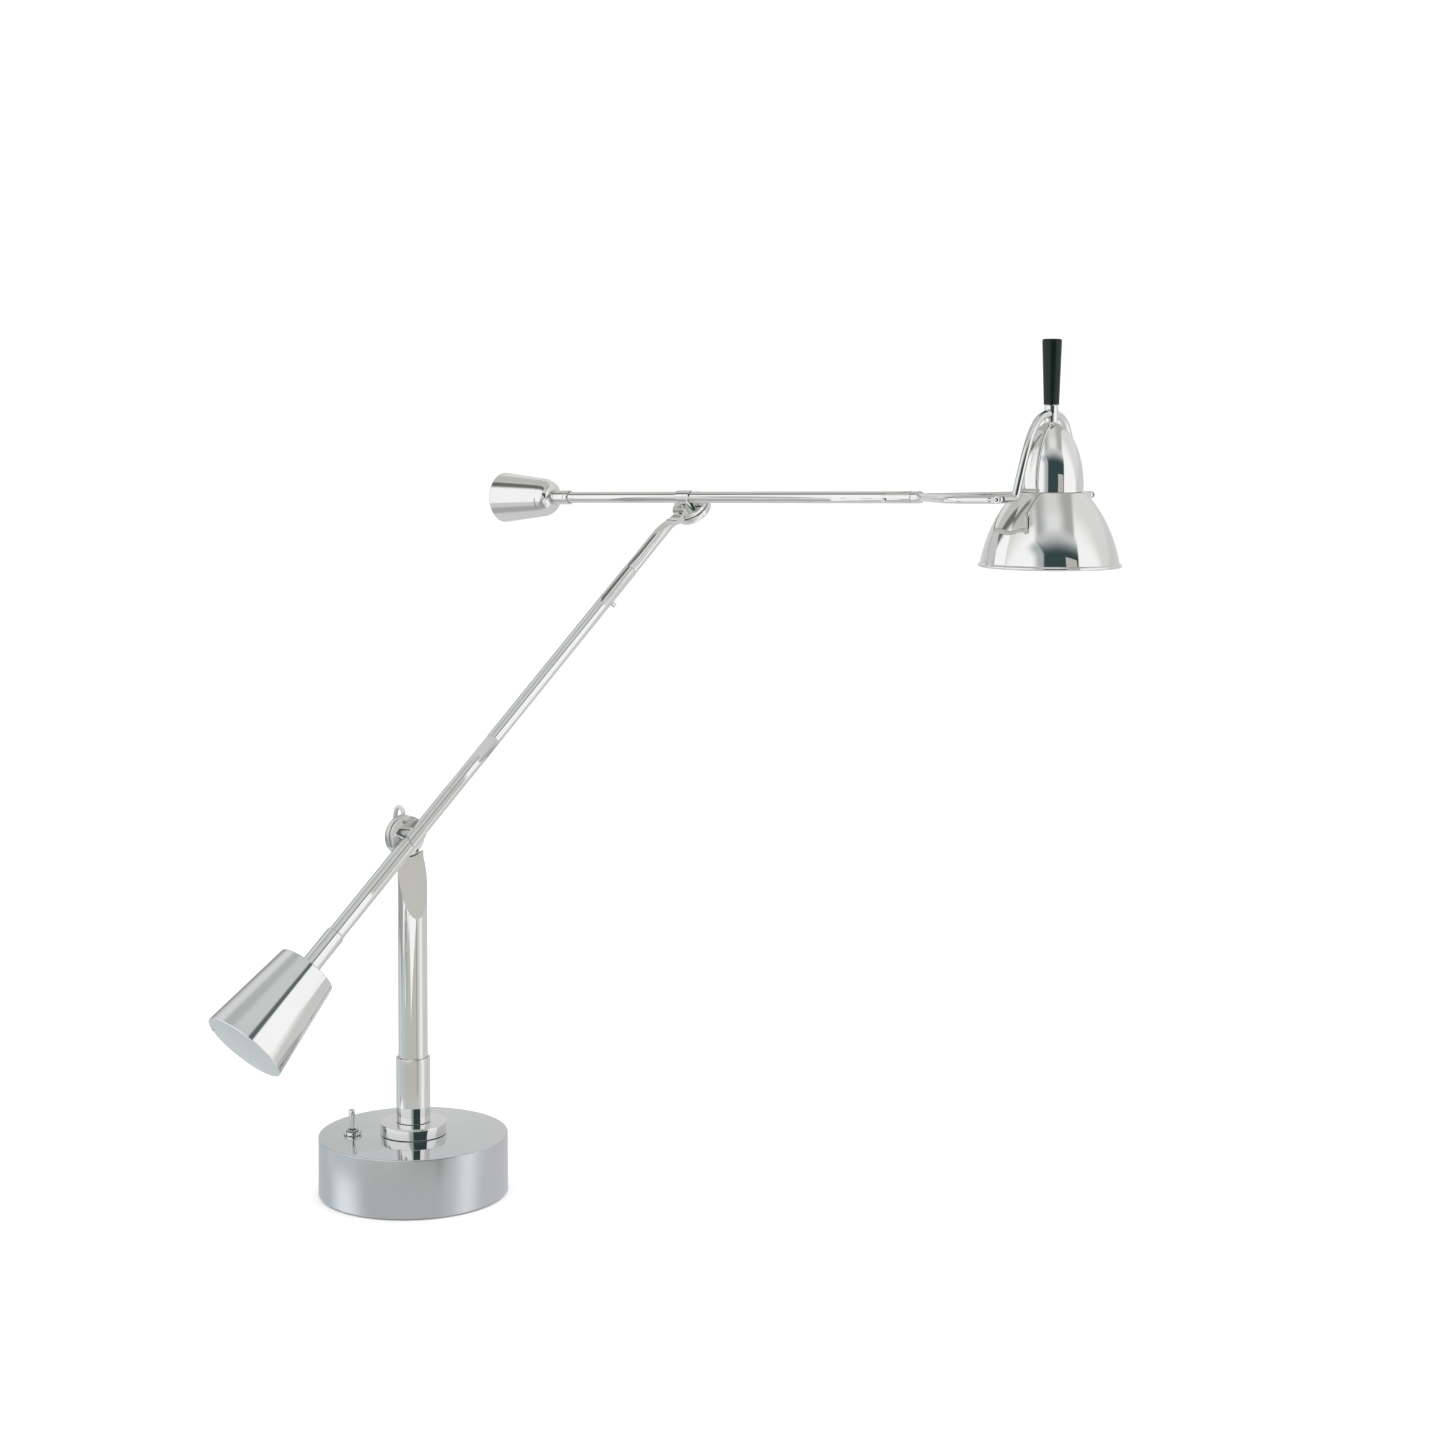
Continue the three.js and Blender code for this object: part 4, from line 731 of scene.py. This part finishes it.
def upper_arm():
    """The upper arm: its tube, a cone weight with a round crown, its neck and a set screw."""
    place, body = UPPER, "upper_arm"
    end, top, crown, well = -221.0, -169.5, 11.0, 20
    tube = pipe(UPPER_D, UPPER_D - 2.4, top - well + GAP, SOCKET - GAP, 0.25)
    piece("upper_tube", bored(tube, UPPER_D, UPPER_SCREW), place, body, NICKEL, "upper_arm_tube")
    low = top + crown + GAP
    high = -138.5
    ring = high - 4
    neck = turned([(5.7, low), (6.8, low, 0.2), (6.8, ring - 0.5, 0.15), (6.2, ring, 0.2),
                   (6.8, ring + 0.5, 0.15), (6.8, high, 0.5), (5.7, high)], closed=True)
    piece("upper_neck", neck, place, body, NICKEL, "upper_weight_neck")
    profile = [(0, end), (24.2, end, 0.9), (18, top, 0.5)]
    steps = 16
    for k in range(1, steps + 1):
        angle = QUARTER * k / steps
        profile.append((6.8 + 10.4 * math.cos(angle), top + crown * math.sin(angle)))
    profile += [(5.7, top + crown), (5.7, top - well), (0, top - well)]
    piece("upper_cone", turned(profile, 128), place, body, NICKEL, "upper_weight")
    side_screw("upper_side_screw", place, body, UPPER_SCREW, UPPER_D, 4.2, 1.6, "upper_set_screw")


# ---------- fork and bow
ROD_D = 6.8
FORK_HALF = 75.0
LEG_HALF = 50.0
KNUCKLE = 4.5  # how far the bow's top and the shade sit from the hinge's line
PIN_D = 4.2
PIN_HEAD = 0.8
BRIDGE_D = 1.8
BRIDGE_REACH = 7.0
SOCKET = 247.5  # stations along the fork: its seam, its root and its shoulder
FORK_ROOT = 253.5
FORK_SHOULDER = 327.5
BOW_HEIGHT = 69.2
STUD_BORE = 1.8  # radius of the way that the head's stud takes
PRONG_FACE = FORK_HALF + ROD_D / 2
FOOT_END = FORK_HALF - ROD_D / 2 - GAP
FOOT_BORE = 12


def fork():
    """The fork: a stem with a round nose and two prongs bored for the pins and the cable."""
    stem_r = 5.4
    steps = 10
    angles = [QUARTER * k / steps for k in range(steps)]
    nose = [(stem_r * math.cos(a), FORK_ROOT + stem_r * math.sin(a)) for a in angles]
    body = turned([(0, SOCKET - 30), (3.9, SOCKET - 30, 0.5), (3.9, SOCKET), (stem_r, SOCKET, 0.25),
                   *nose, (0, FORK_ROOT + stem_r)])
    prongs = []
    for side in (-1, 1):
        path = smooth_path([(0, 0, FORK_ROOT), (0, side * FORK_HALF, FORK_SHOULDER),
                            (0, side * FORK_HALF, KNUCKLE_STATION)], 43, 24)
        prongs.append(swept(path, ROD_D, 48, domed=True))
    body = joined(body, *prongs)
    reach = PRONG_FACE + 1
    pins = shifted(rod(PIN_D + 2 * GAP, -reach, reach, turn=ACROSS), 0, 0, KNUCKLE_STATION)
    wire = shifted(rod(BRIDGE_D + 2 * GAP, -reach, -FORK_HALF, turn=ACROSS), 0, 0,
                   KNUCKLE_STATION - BRIDGE_REACH)
    piece("fork_finish", cut(body, pins, wire), FORK, "fork_body", NICKEL, "fork",
          sharp=28)


def head_pins():
    """The hinge pins from the prongs into the bow's feet, the front one hollow."""
    inner = FOOT_END - FOOT_BORE + GAP
    seat = PRONG_FACE + GAP
    radius = PIN_D / 2
    bore = BRIDGE_D / 2 + GAP
    for name, side in (("front", -1), ("rear", 1)):
        rim = [(radius, inner, 0.2), (radius, seat), (2.9, seat, 0.2), (2.9, seat + PIN_HEAD, 0.4)]
        if name == "front":
            pin = turned([(bore, inner), *rim, (bore, seat + PIN_HEAD, 0.2)], 48, closed=True)
        else:
            pin = turned([(0, inner), *rim, (0, seat + PIN_HEAD)], 48)
        pin.transform(Matrix.Rotation(-side * QUARTER, 4, "X"))
        piece(f"hinge_pin_{name}", shifted(pin, 0, 0, KNUCKLE_STATION), FORK, "fork_body",
              NICKEL, f"head_pin_{name}")


def bridge():
    """The little cable from the front prong into its pin, with a black ring at either end as painted shade for the
    dark holes where the cable goes in.
    """
    depth = PRONG_FACE - 2
    mouth = PRONG_FACE + GAP + PIN_HEAD
    out = mouth + 2.4
    route = [(depth, -BRIDGE_REACH), (PRONG_FACE, -BRIDGE_REACH), (out - 0.9, 0.45 - BRIDGE_REACH),
             (out, 1.8 - BRIDGE_REACH), (out, -1.8), (out - 0.9, -0.45), (mouth, 0), (depth, 0)]
    path = through([(0, -y, KNUCKLE_STATION + z) for y, z in route], 8)
    # The black rings are painted shade: they stand for the dark inside the holes where the cable goes in.
    for name, z, face in (("prong", -BRIDGE_REACH, PRONG_FACE), ("pin", 0, mouth)):
        ring = turned([(1.0, face + 0.1), (1.6, face + 0.1, 0.2), (1.6, face + 0.5, 0.2),
                       (1.0, face + 0.5)], 32, closed=True)
        ring.transform(Matrix.Rotation(QUARTER, 4, "X"))
        piece(f"bridge_shade_ring_{name}", shifted(ring, 0, 0, KNUCKLE_STATION + z), FORK,
              "fork_body", "black_plastic", "head_bridge_cable")
    piece("bridge_cable_sheath", swept(path, BRIDGE_D, 20), FORK, "fork_body", "cable_grey",
          "head_bridge_cable", sharp=60)


def bow_path():
    """The bow's centre line from foot to foot, in the head's frame."""
    half = bezier((0, LEG_HALF, 0), (KNUCKLE * 46 / BOW_HEIGHT, 35, 46), (KNUCKLE, 31, BOW_HEIGHT),
                  (KNUCKLE, 0, BOW_HEIGHT), 48)
    away = (half[1] - half[0]).normalized()
    corner = smooth_path([(0, FOOT_END, 0), (0, LEG_HALF, 0), half[0] + away * 8], 3.8, 12)
    rear = corner[:-1] + [p for p in half if (p - half[0]).length > 8]
    front = [Vector((p.x, -p.y, p.z)) for p in reversed(rear[:-1])]
    return rear + front


def bow():
    """The bent rod over the shade, bored for the head's stud and, at its feet, for the pins."""
    body = swept(bow_path(), ROD_D, 48)
    tools = [shifted(rod(2 * STUD_BORE, BOW_HEIGHT - 6, BOW_HEIGHT + 6), KNUCKLE)]
    for side in (-1, 1):
        low, high = sorted((side * (FOOT_END - FOOT_BORE), side * (FOOT_END + 1)))
        tools.append(rod(PIN_D + 2 * GAP, low, high, turn=ACROSS))
    piece("bow_finish", cut(body, *tools), HEAD, "head", NICKEL, "bow", sharp=28)


# ---------- head
DOME_TOP = 62.0
BELL_TOP = 4.4
BELL_R = 58
LIP_R = 1.5
SHEET = 1.2
WALL_STEPS = 40
SHADE = HEAD @ Matrix.Translation((KNUCKLE * MM, 0, 0))


def handle_and_ferrule():
    """The ferrule that the bow runs through, and the tapered handle above it."""
    low = DOME_TOP + GAP
    top = low + 13.7
    tube = turned([(STUD_BORE, low), (5.75, low, 0.3), (5.75, top, 0.5), (STUD_BORE, top)],
                  closed=True)
    slot = swept(bow_path(), ROD_D + 2 * GAP, 40)
    slot.transform(Matrix.Translation((-KNUCKLE * MM, 0, 0)))
    piece("ferrule_finish", cut(tube, slot), SHADE, "head", NICKEL, "ferrule")
    start = top + GAP
    end = start + 54.3
    well = start + 14.3
    grip = turned([(0, well), (STUD_BORE, well), (STUD_BORE, start), (6.4, start, 0.5),
                   (8.25, end, 1.6), (0, end)])
    piece("handle_grip", grip, SHADE, "head", "handle_black", "handle")


def dome_wall(inset):
    """The dome's outline from its rim up to its neck, an inset further in."""
    radius, height, base = 27.3 - inset, 52 - inset, DOME_TOP - 52
    last = math.acos(7 / radius)
    angles = [last * k / WALL_STEPS for k in range(WALL_STEPS + 1)]
    return [(radius * math.cos(a), base + height * math.sin(a)) for a in angles]


def bell_wall(inset):
    """The bell's outline from its rim up to its roof, an inset further in."""
    a = Vector((BELL_R - inset, BELL_TOP - 62 + LIP_R))
    b = Vector((51 - inset, BELL_TOP - 23 - inset))
    c = Vector((29 - inset, BELL_TOP - inset))
    return [tuple((1 - t) ** 2 * a + 2 * t * (1 - t) * b + t * t * c)
            for t in (k / WALL_STEPS for k in range(WALL_STEPS + 1))]


def shade():
    """The dome, and the bell below it with a rim turned round like a wire."""
    rim = 4.7
    outer, inner = dome_wall(0), dome_wall(SHEET)[::-1]
    dome = turned([(inner[-1][0], rim), (outer[0][0], rim, 0.3), *outer[:-1], (6.6, 61.3, 0.6),
                   (6.0, DOME_TOP, 0.5), (STUD_BORE, DOME_TOP), (STUD_BORE, DOME_TOP - 1.8),
                   *inner], sides=144, closed=True)
    piece("dome_shell", dome, SHADE, "head", NICKEL, "shade_dome", sharp=40)
    outer, inner = bell_wall(0), bell_wall(SHEET)[::-1]
    centre = outer[0][1]
    lip = [(BELL_R + LIP_R * math.cos(a), centre + LIP_R * math.sin(a))
           for a in (QUARTER * 0.9 - 2 * math.pi * k / 24 for k in range(20))]
    profile = [*inner, *lip[::-1], *outer[1:-1], (29, BELL_TOP, 0.5), (23, BELL_TOP),
               (23, BELL_TOP - SHEET)]
    bell = turned(profile, sides=160, closed=True)
    piece("bell_shell", bell, SHADE, "head", NICKEL, "shade_bell", sharp=40)


def lamp():
    """The lampholder inside the dome and its bulb."""
    top = DOME_TOP - 10
    ledge = top - 10
    mouth = top - 42
    holder = [(8.3, mouth, 0.4), (14, mouth, 0.6), (14, top - 12, 0.5), (13.2, top - 11, 0.4),
              (14, ledge, 0.5), (14, top, 1.2), (STUD_BORE, top), (STUD_BORE, ledge), (8.3, ledge)]
    piece("lampholder_body", turned(holder, closed=True), SHADE, "head", "ceramic", "lampholder")
    globe_r = 21
    middle = mouth - 56 + globe_r
    profile = [(0, middle - globe_r)]
    sweep = 121.5 * DEG
    steps = 30
    for k in range(1, steps + 1):
        angle = sweep * k / steps - QUARTER
        profile.append((globe_r * math.cos(angle), middle + globe_r * math.sin(angle)))
    profile += [(13.2, mouth - 14, 6), (8, mouth - 6, 3), (8, mouth + 26), (0, mouth + 26)]
    piece("bulb_glass_body", turned(profile), SHADE, "head", "bulb_glass", "bulb", sharp=50)


base_shell()
base_bits()
base_switch()
post_foot()
post()
shoulder_cable()
disc_joint("shoulder", LOWER, "lower_arm", LOWER_D, 7.5, [-66, 50])
lower_arm()
lower_end()
disc_joint("elbow", UPPER, "upper_arm", UPPER_D, 8.0, [105])
upper_arm()
fork()
head_pins()
bridge()
bow()
handle_and_ferrule()
shade()
lamp()

# The solids that still show take their finish from the record
SLOT_OF = {p["node"]: p["material_slot"] for p in frame["record"]["subparts"]}
for name, node in frame["nodes"].items():
    node.data.materials.clear()
    node.data.materials.append(LOOK[SLOT_OF[name]])


# ---------- studio
def smoothstep(low, high, value):
    """0 below low, 1 above high and a smooth rise between them."""
    t = min(max((value - low) / (high - low), 0.0), 1.0)
    return t * t * (3 - 2 * t)


def window(value, low, high, soft, soft_high=None):
    """1 between low and high, falling to 0 over soft on each side."""
    end = soft if soft_high is None else soft_high
    rise = smoothstep(low - soft, low + soft, value)
    return rise * (1 - smoothstep(high - end, high + end, value))


# Panels round the lamp as the shade sees them, later ones over earlier ones. The first numbers run
# from left to right in degrees, with a softness for each side and how far each side leans per
# degree above LEVEL. The next run over the lamp, from 0 at the camera's side past 90 overhead to
# 180 behind, with a softness. The last is the panel's brightness.
PANELS = [
    ((-90, 90), (1, 1), (0, 0), (62, 240, 26), (0.84, 0.84, 0.83)),
    ((-90, 90), (1, 1), (0, 0), (155, 240, 12), (0.72, 0.725, 0.725)),
    ((-28, 34), (5, 3), (0, 0), (40, 150, 8), (0.48, 0.48, 0.47)),
    ((-14, 14), (9, 9), (0, 0), (58, 105, 12), (0.78, 0.78, 0.76)),
    ((-13, 15), (10, 10), (0, 0), (38, 64, 10), (0.88, 0.91, 0.92)),
    ((-29, -14), (7, 2), (-0.9, -0.9), (-70, 38, 5), (0.50, 0.53, 0.55)),
    ((-16, 39.6), (2, 1.2), (-0.9, -0.13), (-70, 36, 11), (0.045, 0.075, 0.075)),
]
ROOM = (1.12, 1.13, 1.14)
LEVEL = 26
SHADE_AT = Vector((0.53, -0.02, 0.57))
CENTRE = Vector((0.3, 0.0, 0.45))
FAR = 1.35

# The wall on the left is white up to an edge, which is EDGE_UP degrees high at EDGE_BEARING
EDGE_UP, EDGE_BEARING, EDGE_SLOPE, EDGE_SOFT = 43, -55, 0.29, 3
WALL_RIM = (-0.58, -0.44)  # where the wall ends, from left to right
WALL_BACK = (0.27, 0.33)  # where its back part starts, from front to back
WALL_SLIT = (0.22, 0.33, 0.05, 0.02)
UPPER_GREY = Vector((0.60, 0.60, 0.58))
BACK_GREY = Vector((0.66, 0.665, 0.665))
SLIT_GREY = Vector((0.22, 0.23, 0.23))


def left_wall(way, light):
    """The wall on the left: grey above its white part, and a dark slit before its back part."""
    bearing = math.atan2(way.x, -way.y) / DEG
    elevation = math.asin(way.z) / DEG
    depth = way.y + 0.25 * way.z
    edge = EDGE_UP + EDGE_SLOPE * (bearing - EDGE_BEARING)
    left = 1 - smoothstep(*WALL_RIM, way.x)
    above = smoothstep(edge - EDGE_SOFT, edge + EDGE_SOFT, elevation)
    light = light.lerp(UPPER_GREY, left * above)
    light = light.lerp(BACK_GREY, left * smoothstep(*WALL_BACK, depth))
    return light.lerp(SLIT_GREY, left * window(depth, *WALL_SLIT))


def panel_light(way):
    """Brightness of the studio in a direction from the shade."""
    way = way.normalized()
    across = math.asin(way.x) / DEG
    over = math.atan2(way.z, -way.y) / DEG
    over += 360 if over < -90 else 0
    light = Vector(ROOM)
    for (west, east), sides, (lean_west, lean_east), (low, high, soft), glow in PANELS:
        rise = max(over - LEVEL, 0)
        share = window(across, west + lean_west * rise, east + lean_east * rise, *sides)
        light = light.lerp(Vector(glow), share * window(over, low, high, soft))
    return left_wall(way, light)


# Upright bands below the floor's height, by bearing from the base: from, to, softness, whether
# they show low down and further up, brightness
BANDS = [
    (-180, -60, 20, (1, 1), (0.62, 0.67, 0.69)),
    (42, 180, 10, (1, 1), (0.70, 0.70, 0.70)),
    (-100, -64, 14, (1, 0), (1.16, 1.18, 1.20)),
    (-112, -100, 6, (0, 1), (0.76, 0.81, 0.83)),
    (62, 84, 13, (1, 1), (1.10, 1.10, 1.10)),
    (34, 39, 2, (0, 1), (0.30, 0.30, 0.29)),
]
BAND_SLOPE = (-0.25, -0.20)  # where low down turns into further up
LOW_GREY = Vector((0.62, 0.62, 0.61))
HIGH_GREY = Vector((0.60, 0.595, 0.565))


def floor_light(spot):
    """Brightness of the studio below the floor's height."""
    bearing = math.atan2(spot.x, -spot.y) / DEG
    high = smoothstep(*BAND_SLOPE, spot.z / max(math.hypot(spot.x, spot.y), 0.1))
    light = LOW_GREY.lerp(HIGH_GREY, high)
    for west, east, soft, (below, above), glow in BANDS:
        share = window(bearing, west, east, soft) * (below + (above - below) * high)
        light = light.lerp(Vector(glow), share)
    return light


def glowing(name, verts, faces, lights):
    """A stage surface that only reflections see, each point as bright as it says."""
    mesh = mesh_of(verts, faces)
    layer = mesh.color_attributes.new("light", "FLOAT_COLOR", "POINT")
    for item, light in zip(layer.data, lights):
        item.color = (*light, 1)
    material, nodes, links, shader = new_material(name)
    nodes.remove(shader)
    painted = nodes.new("ShaderNodeVertexColor")
    painted.layer_name = "light"
    glow = nodes.new("ShaderNodeEmission")
    links.new(painted.outputs["Color"], glow.inputs["Color"])
    links.new(glow.outputs["Emission"], nodes["Material Output"].inputs["Surface"])
    mesh.materials.append(material)
    obj = linked(name, mesh)
    for ray in ("camera", "diffuse", "transmission", "shadow", "volume_scatter"):
        setattr(obj, f"visible_{ray}", False)


def studio():
    """A painted ball round the lamp that only reflections see."""
    verts, faces, lights = [], [], []
    across, up = 360, 180
    for row in range(up + 1):
        e = math.pi * (row / up - 0.5)
        for col in range(across):
            a = 2 * math.pi * col / across
            way = Vector((math.sin(a) * math.cos(e), -math.cos(a) * math.cos(e), math.sin(e)))
            point = CENTRE + way * FAR
            verts.append(point / MM)
            high = smoothstep(-0.02, 0.02, point.z)
            lights.append(floor_light(point).lerp(panel_light(point - SHADE_AT), high))
            if row:
                n, m = row * across, (row - 1) * across
                nxt = (col + 1) % across
                faces.append((m + col, m + nxt, n + nxt, n + col))
    glowing("studio_surround", verts, faces, lights)


# Strips of the painted screens round the arms, over SCREEN_GREY. Degrees round the arm from the
# side that faces the camera up over the top: from, to, softness, brightness.
SCREEN_GREY = (0.7, 0.7, 0.7)
LOWER_STRIPS = [
    (-60, -2, 3, (1.12, 1.13, 1.14)),
    (-4, 8, 2, (0.13, 0.16, 0.16)),
    (10, 46, 5, (0.68, 0.71, 0.71)),
    (50, 78, 9, (0.52, 0.55, 0.56)),
    (84, 110, 7, (0.80, 0.82, 0.82)),
    (122, 180, 8, (0.40, 0.41, 0.42)),
]
UPPER_STRIPS = [
    (-150, -78, 6, (0.72, 0.73, 0.73)),
    (-76, -46, 6, (0.46, 0.47, 0.47)),
    (-44, -28, 6, (0.72, 0.72, 0.73)),
    (-25, 44, 4, (1.13, 1.14, 1.15)),
    (50, 72, 4, (0.18, 0.18, 0.18)),
    (78, 116, 8, (0.60, 0.60, 0.59)),
    (120, 180, 10, (0.84, 0.84, 0.82)),
]
# Stretches of a screen with a brightness of their own: stations with a softness, degrees round
# the arm with a softness, brightness. This one is what the post's flat faces.
LOWER_PATCHES = [((-30, 110, 3), (-80, -8, 3), (0.64, 0.63, 0.61))]
CAMERA_AT = Vector((0.2545, -2.1, 0.668))


def screen_light(station, turn, strips, patches):
    """Brightness of a screen at a station along the arm and an angle round it."""
    light = Vector(SCREEN_GREY)
    for start, end, soft, glow in strips:
        light = light.lerp(Vector(glow), window(turn, start, end, soft))
    for along, around, glow in patches:
        light = light.lerp(Vector(glow), window(station, *along) * window(turn, *around))
    return light


def screen(name, place, stations, radius, turns, strips, patches=()):
    """A glowing screen curved round part of an arm."""
    axis = (place.to_3x3() @ Vector((0, 0, 1))).normalized()
    sight = place.translation - CAMERA_AT
    front = -(sight - axis * sight.dot(axis)).normalized()
    above = front.cross(axis)
    rows, cols = 90, 100
    verts, faces, lights = [], [], []
    for k in range(rows + 1):
        turn = turns[0] + (turns[1] - turns[0]) * k / rows
        out = front * math.cos(turn * DEG) + above * math.sin(turn * DEG)
        for col in range(cols + 1):
            station = stations[0] + (stations[1] - stations[0]) * col / cols
            verts.append(place.translation / MM + axis * station + out * radius)
            lights.append(screen_light(station, turn, strips, patches))
            if k and col:
                n = k * (cols + 1) + col
                faces.append((n - cols - 2, n - cols - 1, n, n - 1))
    glowing(name, verts, faces, lights)


def card(name, centre, toward, width, height, light):
    """A small glowing card, its middle facing a point."""
    aim = (toward - centre).normalized()
    side = aim.cross(Vector((0, 0, 1))).normalized()
    rise = side.cross(aim)
    verts = [(centre + side * (a * width / 2) + rise * (b * height / 2)) / MM
             for a, b in ((-1, -1), (1, -1), (1, 1), (-1, 1))]
    glowing(name, verts, [(0, 1, 2, 3)], [light] * 4)


def floor():
    """The pale floor, just below the felt, which doesn't show in the metal."""
    half = 12000
    below = 0.4
    mesh = mesh_of([(-half, -half, 0), (half, -half, 0), (half, half, 0), (-half, half, 0)],
                   [(0, 1, 2, 3)])
    obj = linked("floor", mesh)
    obj.location.z = -below * MM
    obj.visible_glossy = False
    mesh.materials.append(finish("floor_paper", (0.93, 0.93, 0.93), (0.95, 0.95, 0.95),
                                 (0.85, 0.95), scale=30.0, clouds=1.0))


def area_light(name, where, target, size, power):
    """A square soft light that doesn't show in the metal."""
    data = bpy.data.lights.new(name, "AREA")
    data.shape = "SQUARE"
    data.size = size
    data.energy = power
    obj = linked(name, data)
    obj.location = where
    obj.rotation_mode = "QUATERNION"
    obj.rotation_quaternion = (Vector(target) - Vector(where)).to_track_quat("-Z", "Y")
    obj.visible_glossy = False


# Name, place, the point that it is turned to, size in metres and power in watts
LIGHTS = [
    ("key", (-1.6, -2.2, 2.6), (0.25, 0, 0.3), 1.6, 26),
    ("fill", (2.4, -1.4, 2.2), (0.25, 0, 0.3), 1.8, 18),
    ("top", (0.3, 0.6, 3.0), (0.25, 0, 0.2), 2.2, 22),
]
ROOM_STRENGTH = 1.12
LENS = 62.83  # in mm, on a sensor 36 mm wide
SHIFT_UP = -0.10
CAMERA_TURN = (QUARTER - 0.0679, -0.00395, -0.00173)  # in radians, 3.9 degrees down from level


def lights_and_camera():
    """A white room, three soft lights, and the camera across from the lamp."""
    scene = bpy.context.scene
    world = bpy.data.worlds.new("white_room")
    world.use_nodes = True
    backdrop = world.node_tree.nodes["Background"]
    backdrop.inputs["Color"].default_value = (1, 1, 1, 1)
    backdrop.inputs["Strength"].default_value = ROOM_STRENGTH
    scene.world = world
    for light in LIGHTS:
        area_light(*light)
    data = bpy.data.cameras.new("camera")
    data.sensor_width = 36
    data.lens = LENS
    data.shift_y = SHIFT_UP
    data.clip_end = 100
    camera = linked("camera", data)
    camera.location = CAMERA_AT
    camera.rotation_euler = CAMERA_TURN
    scene.camera = camera
    scene.view_settings.view_transform = "Standard"
    scene.view_settings.look = "None"


studio()
screen("lower_screen", LOWER, (-240, 350), 120, (-60, 165), LOWER_STRIPS, LOWER_PATCHES)
screen("upper_screen", UPPER, (-456, 75), 300, (-128, 150), UPPER_STRIPS)
card("square_card", Vector((0.689, -0.32, 0.557)), Vector((0.689, 0, 0.557)), 0.122, 0.214,
     (0.56, 0.55, 0.51))
floor()
lights_and_camera()

bpy.context.view_layer.update()
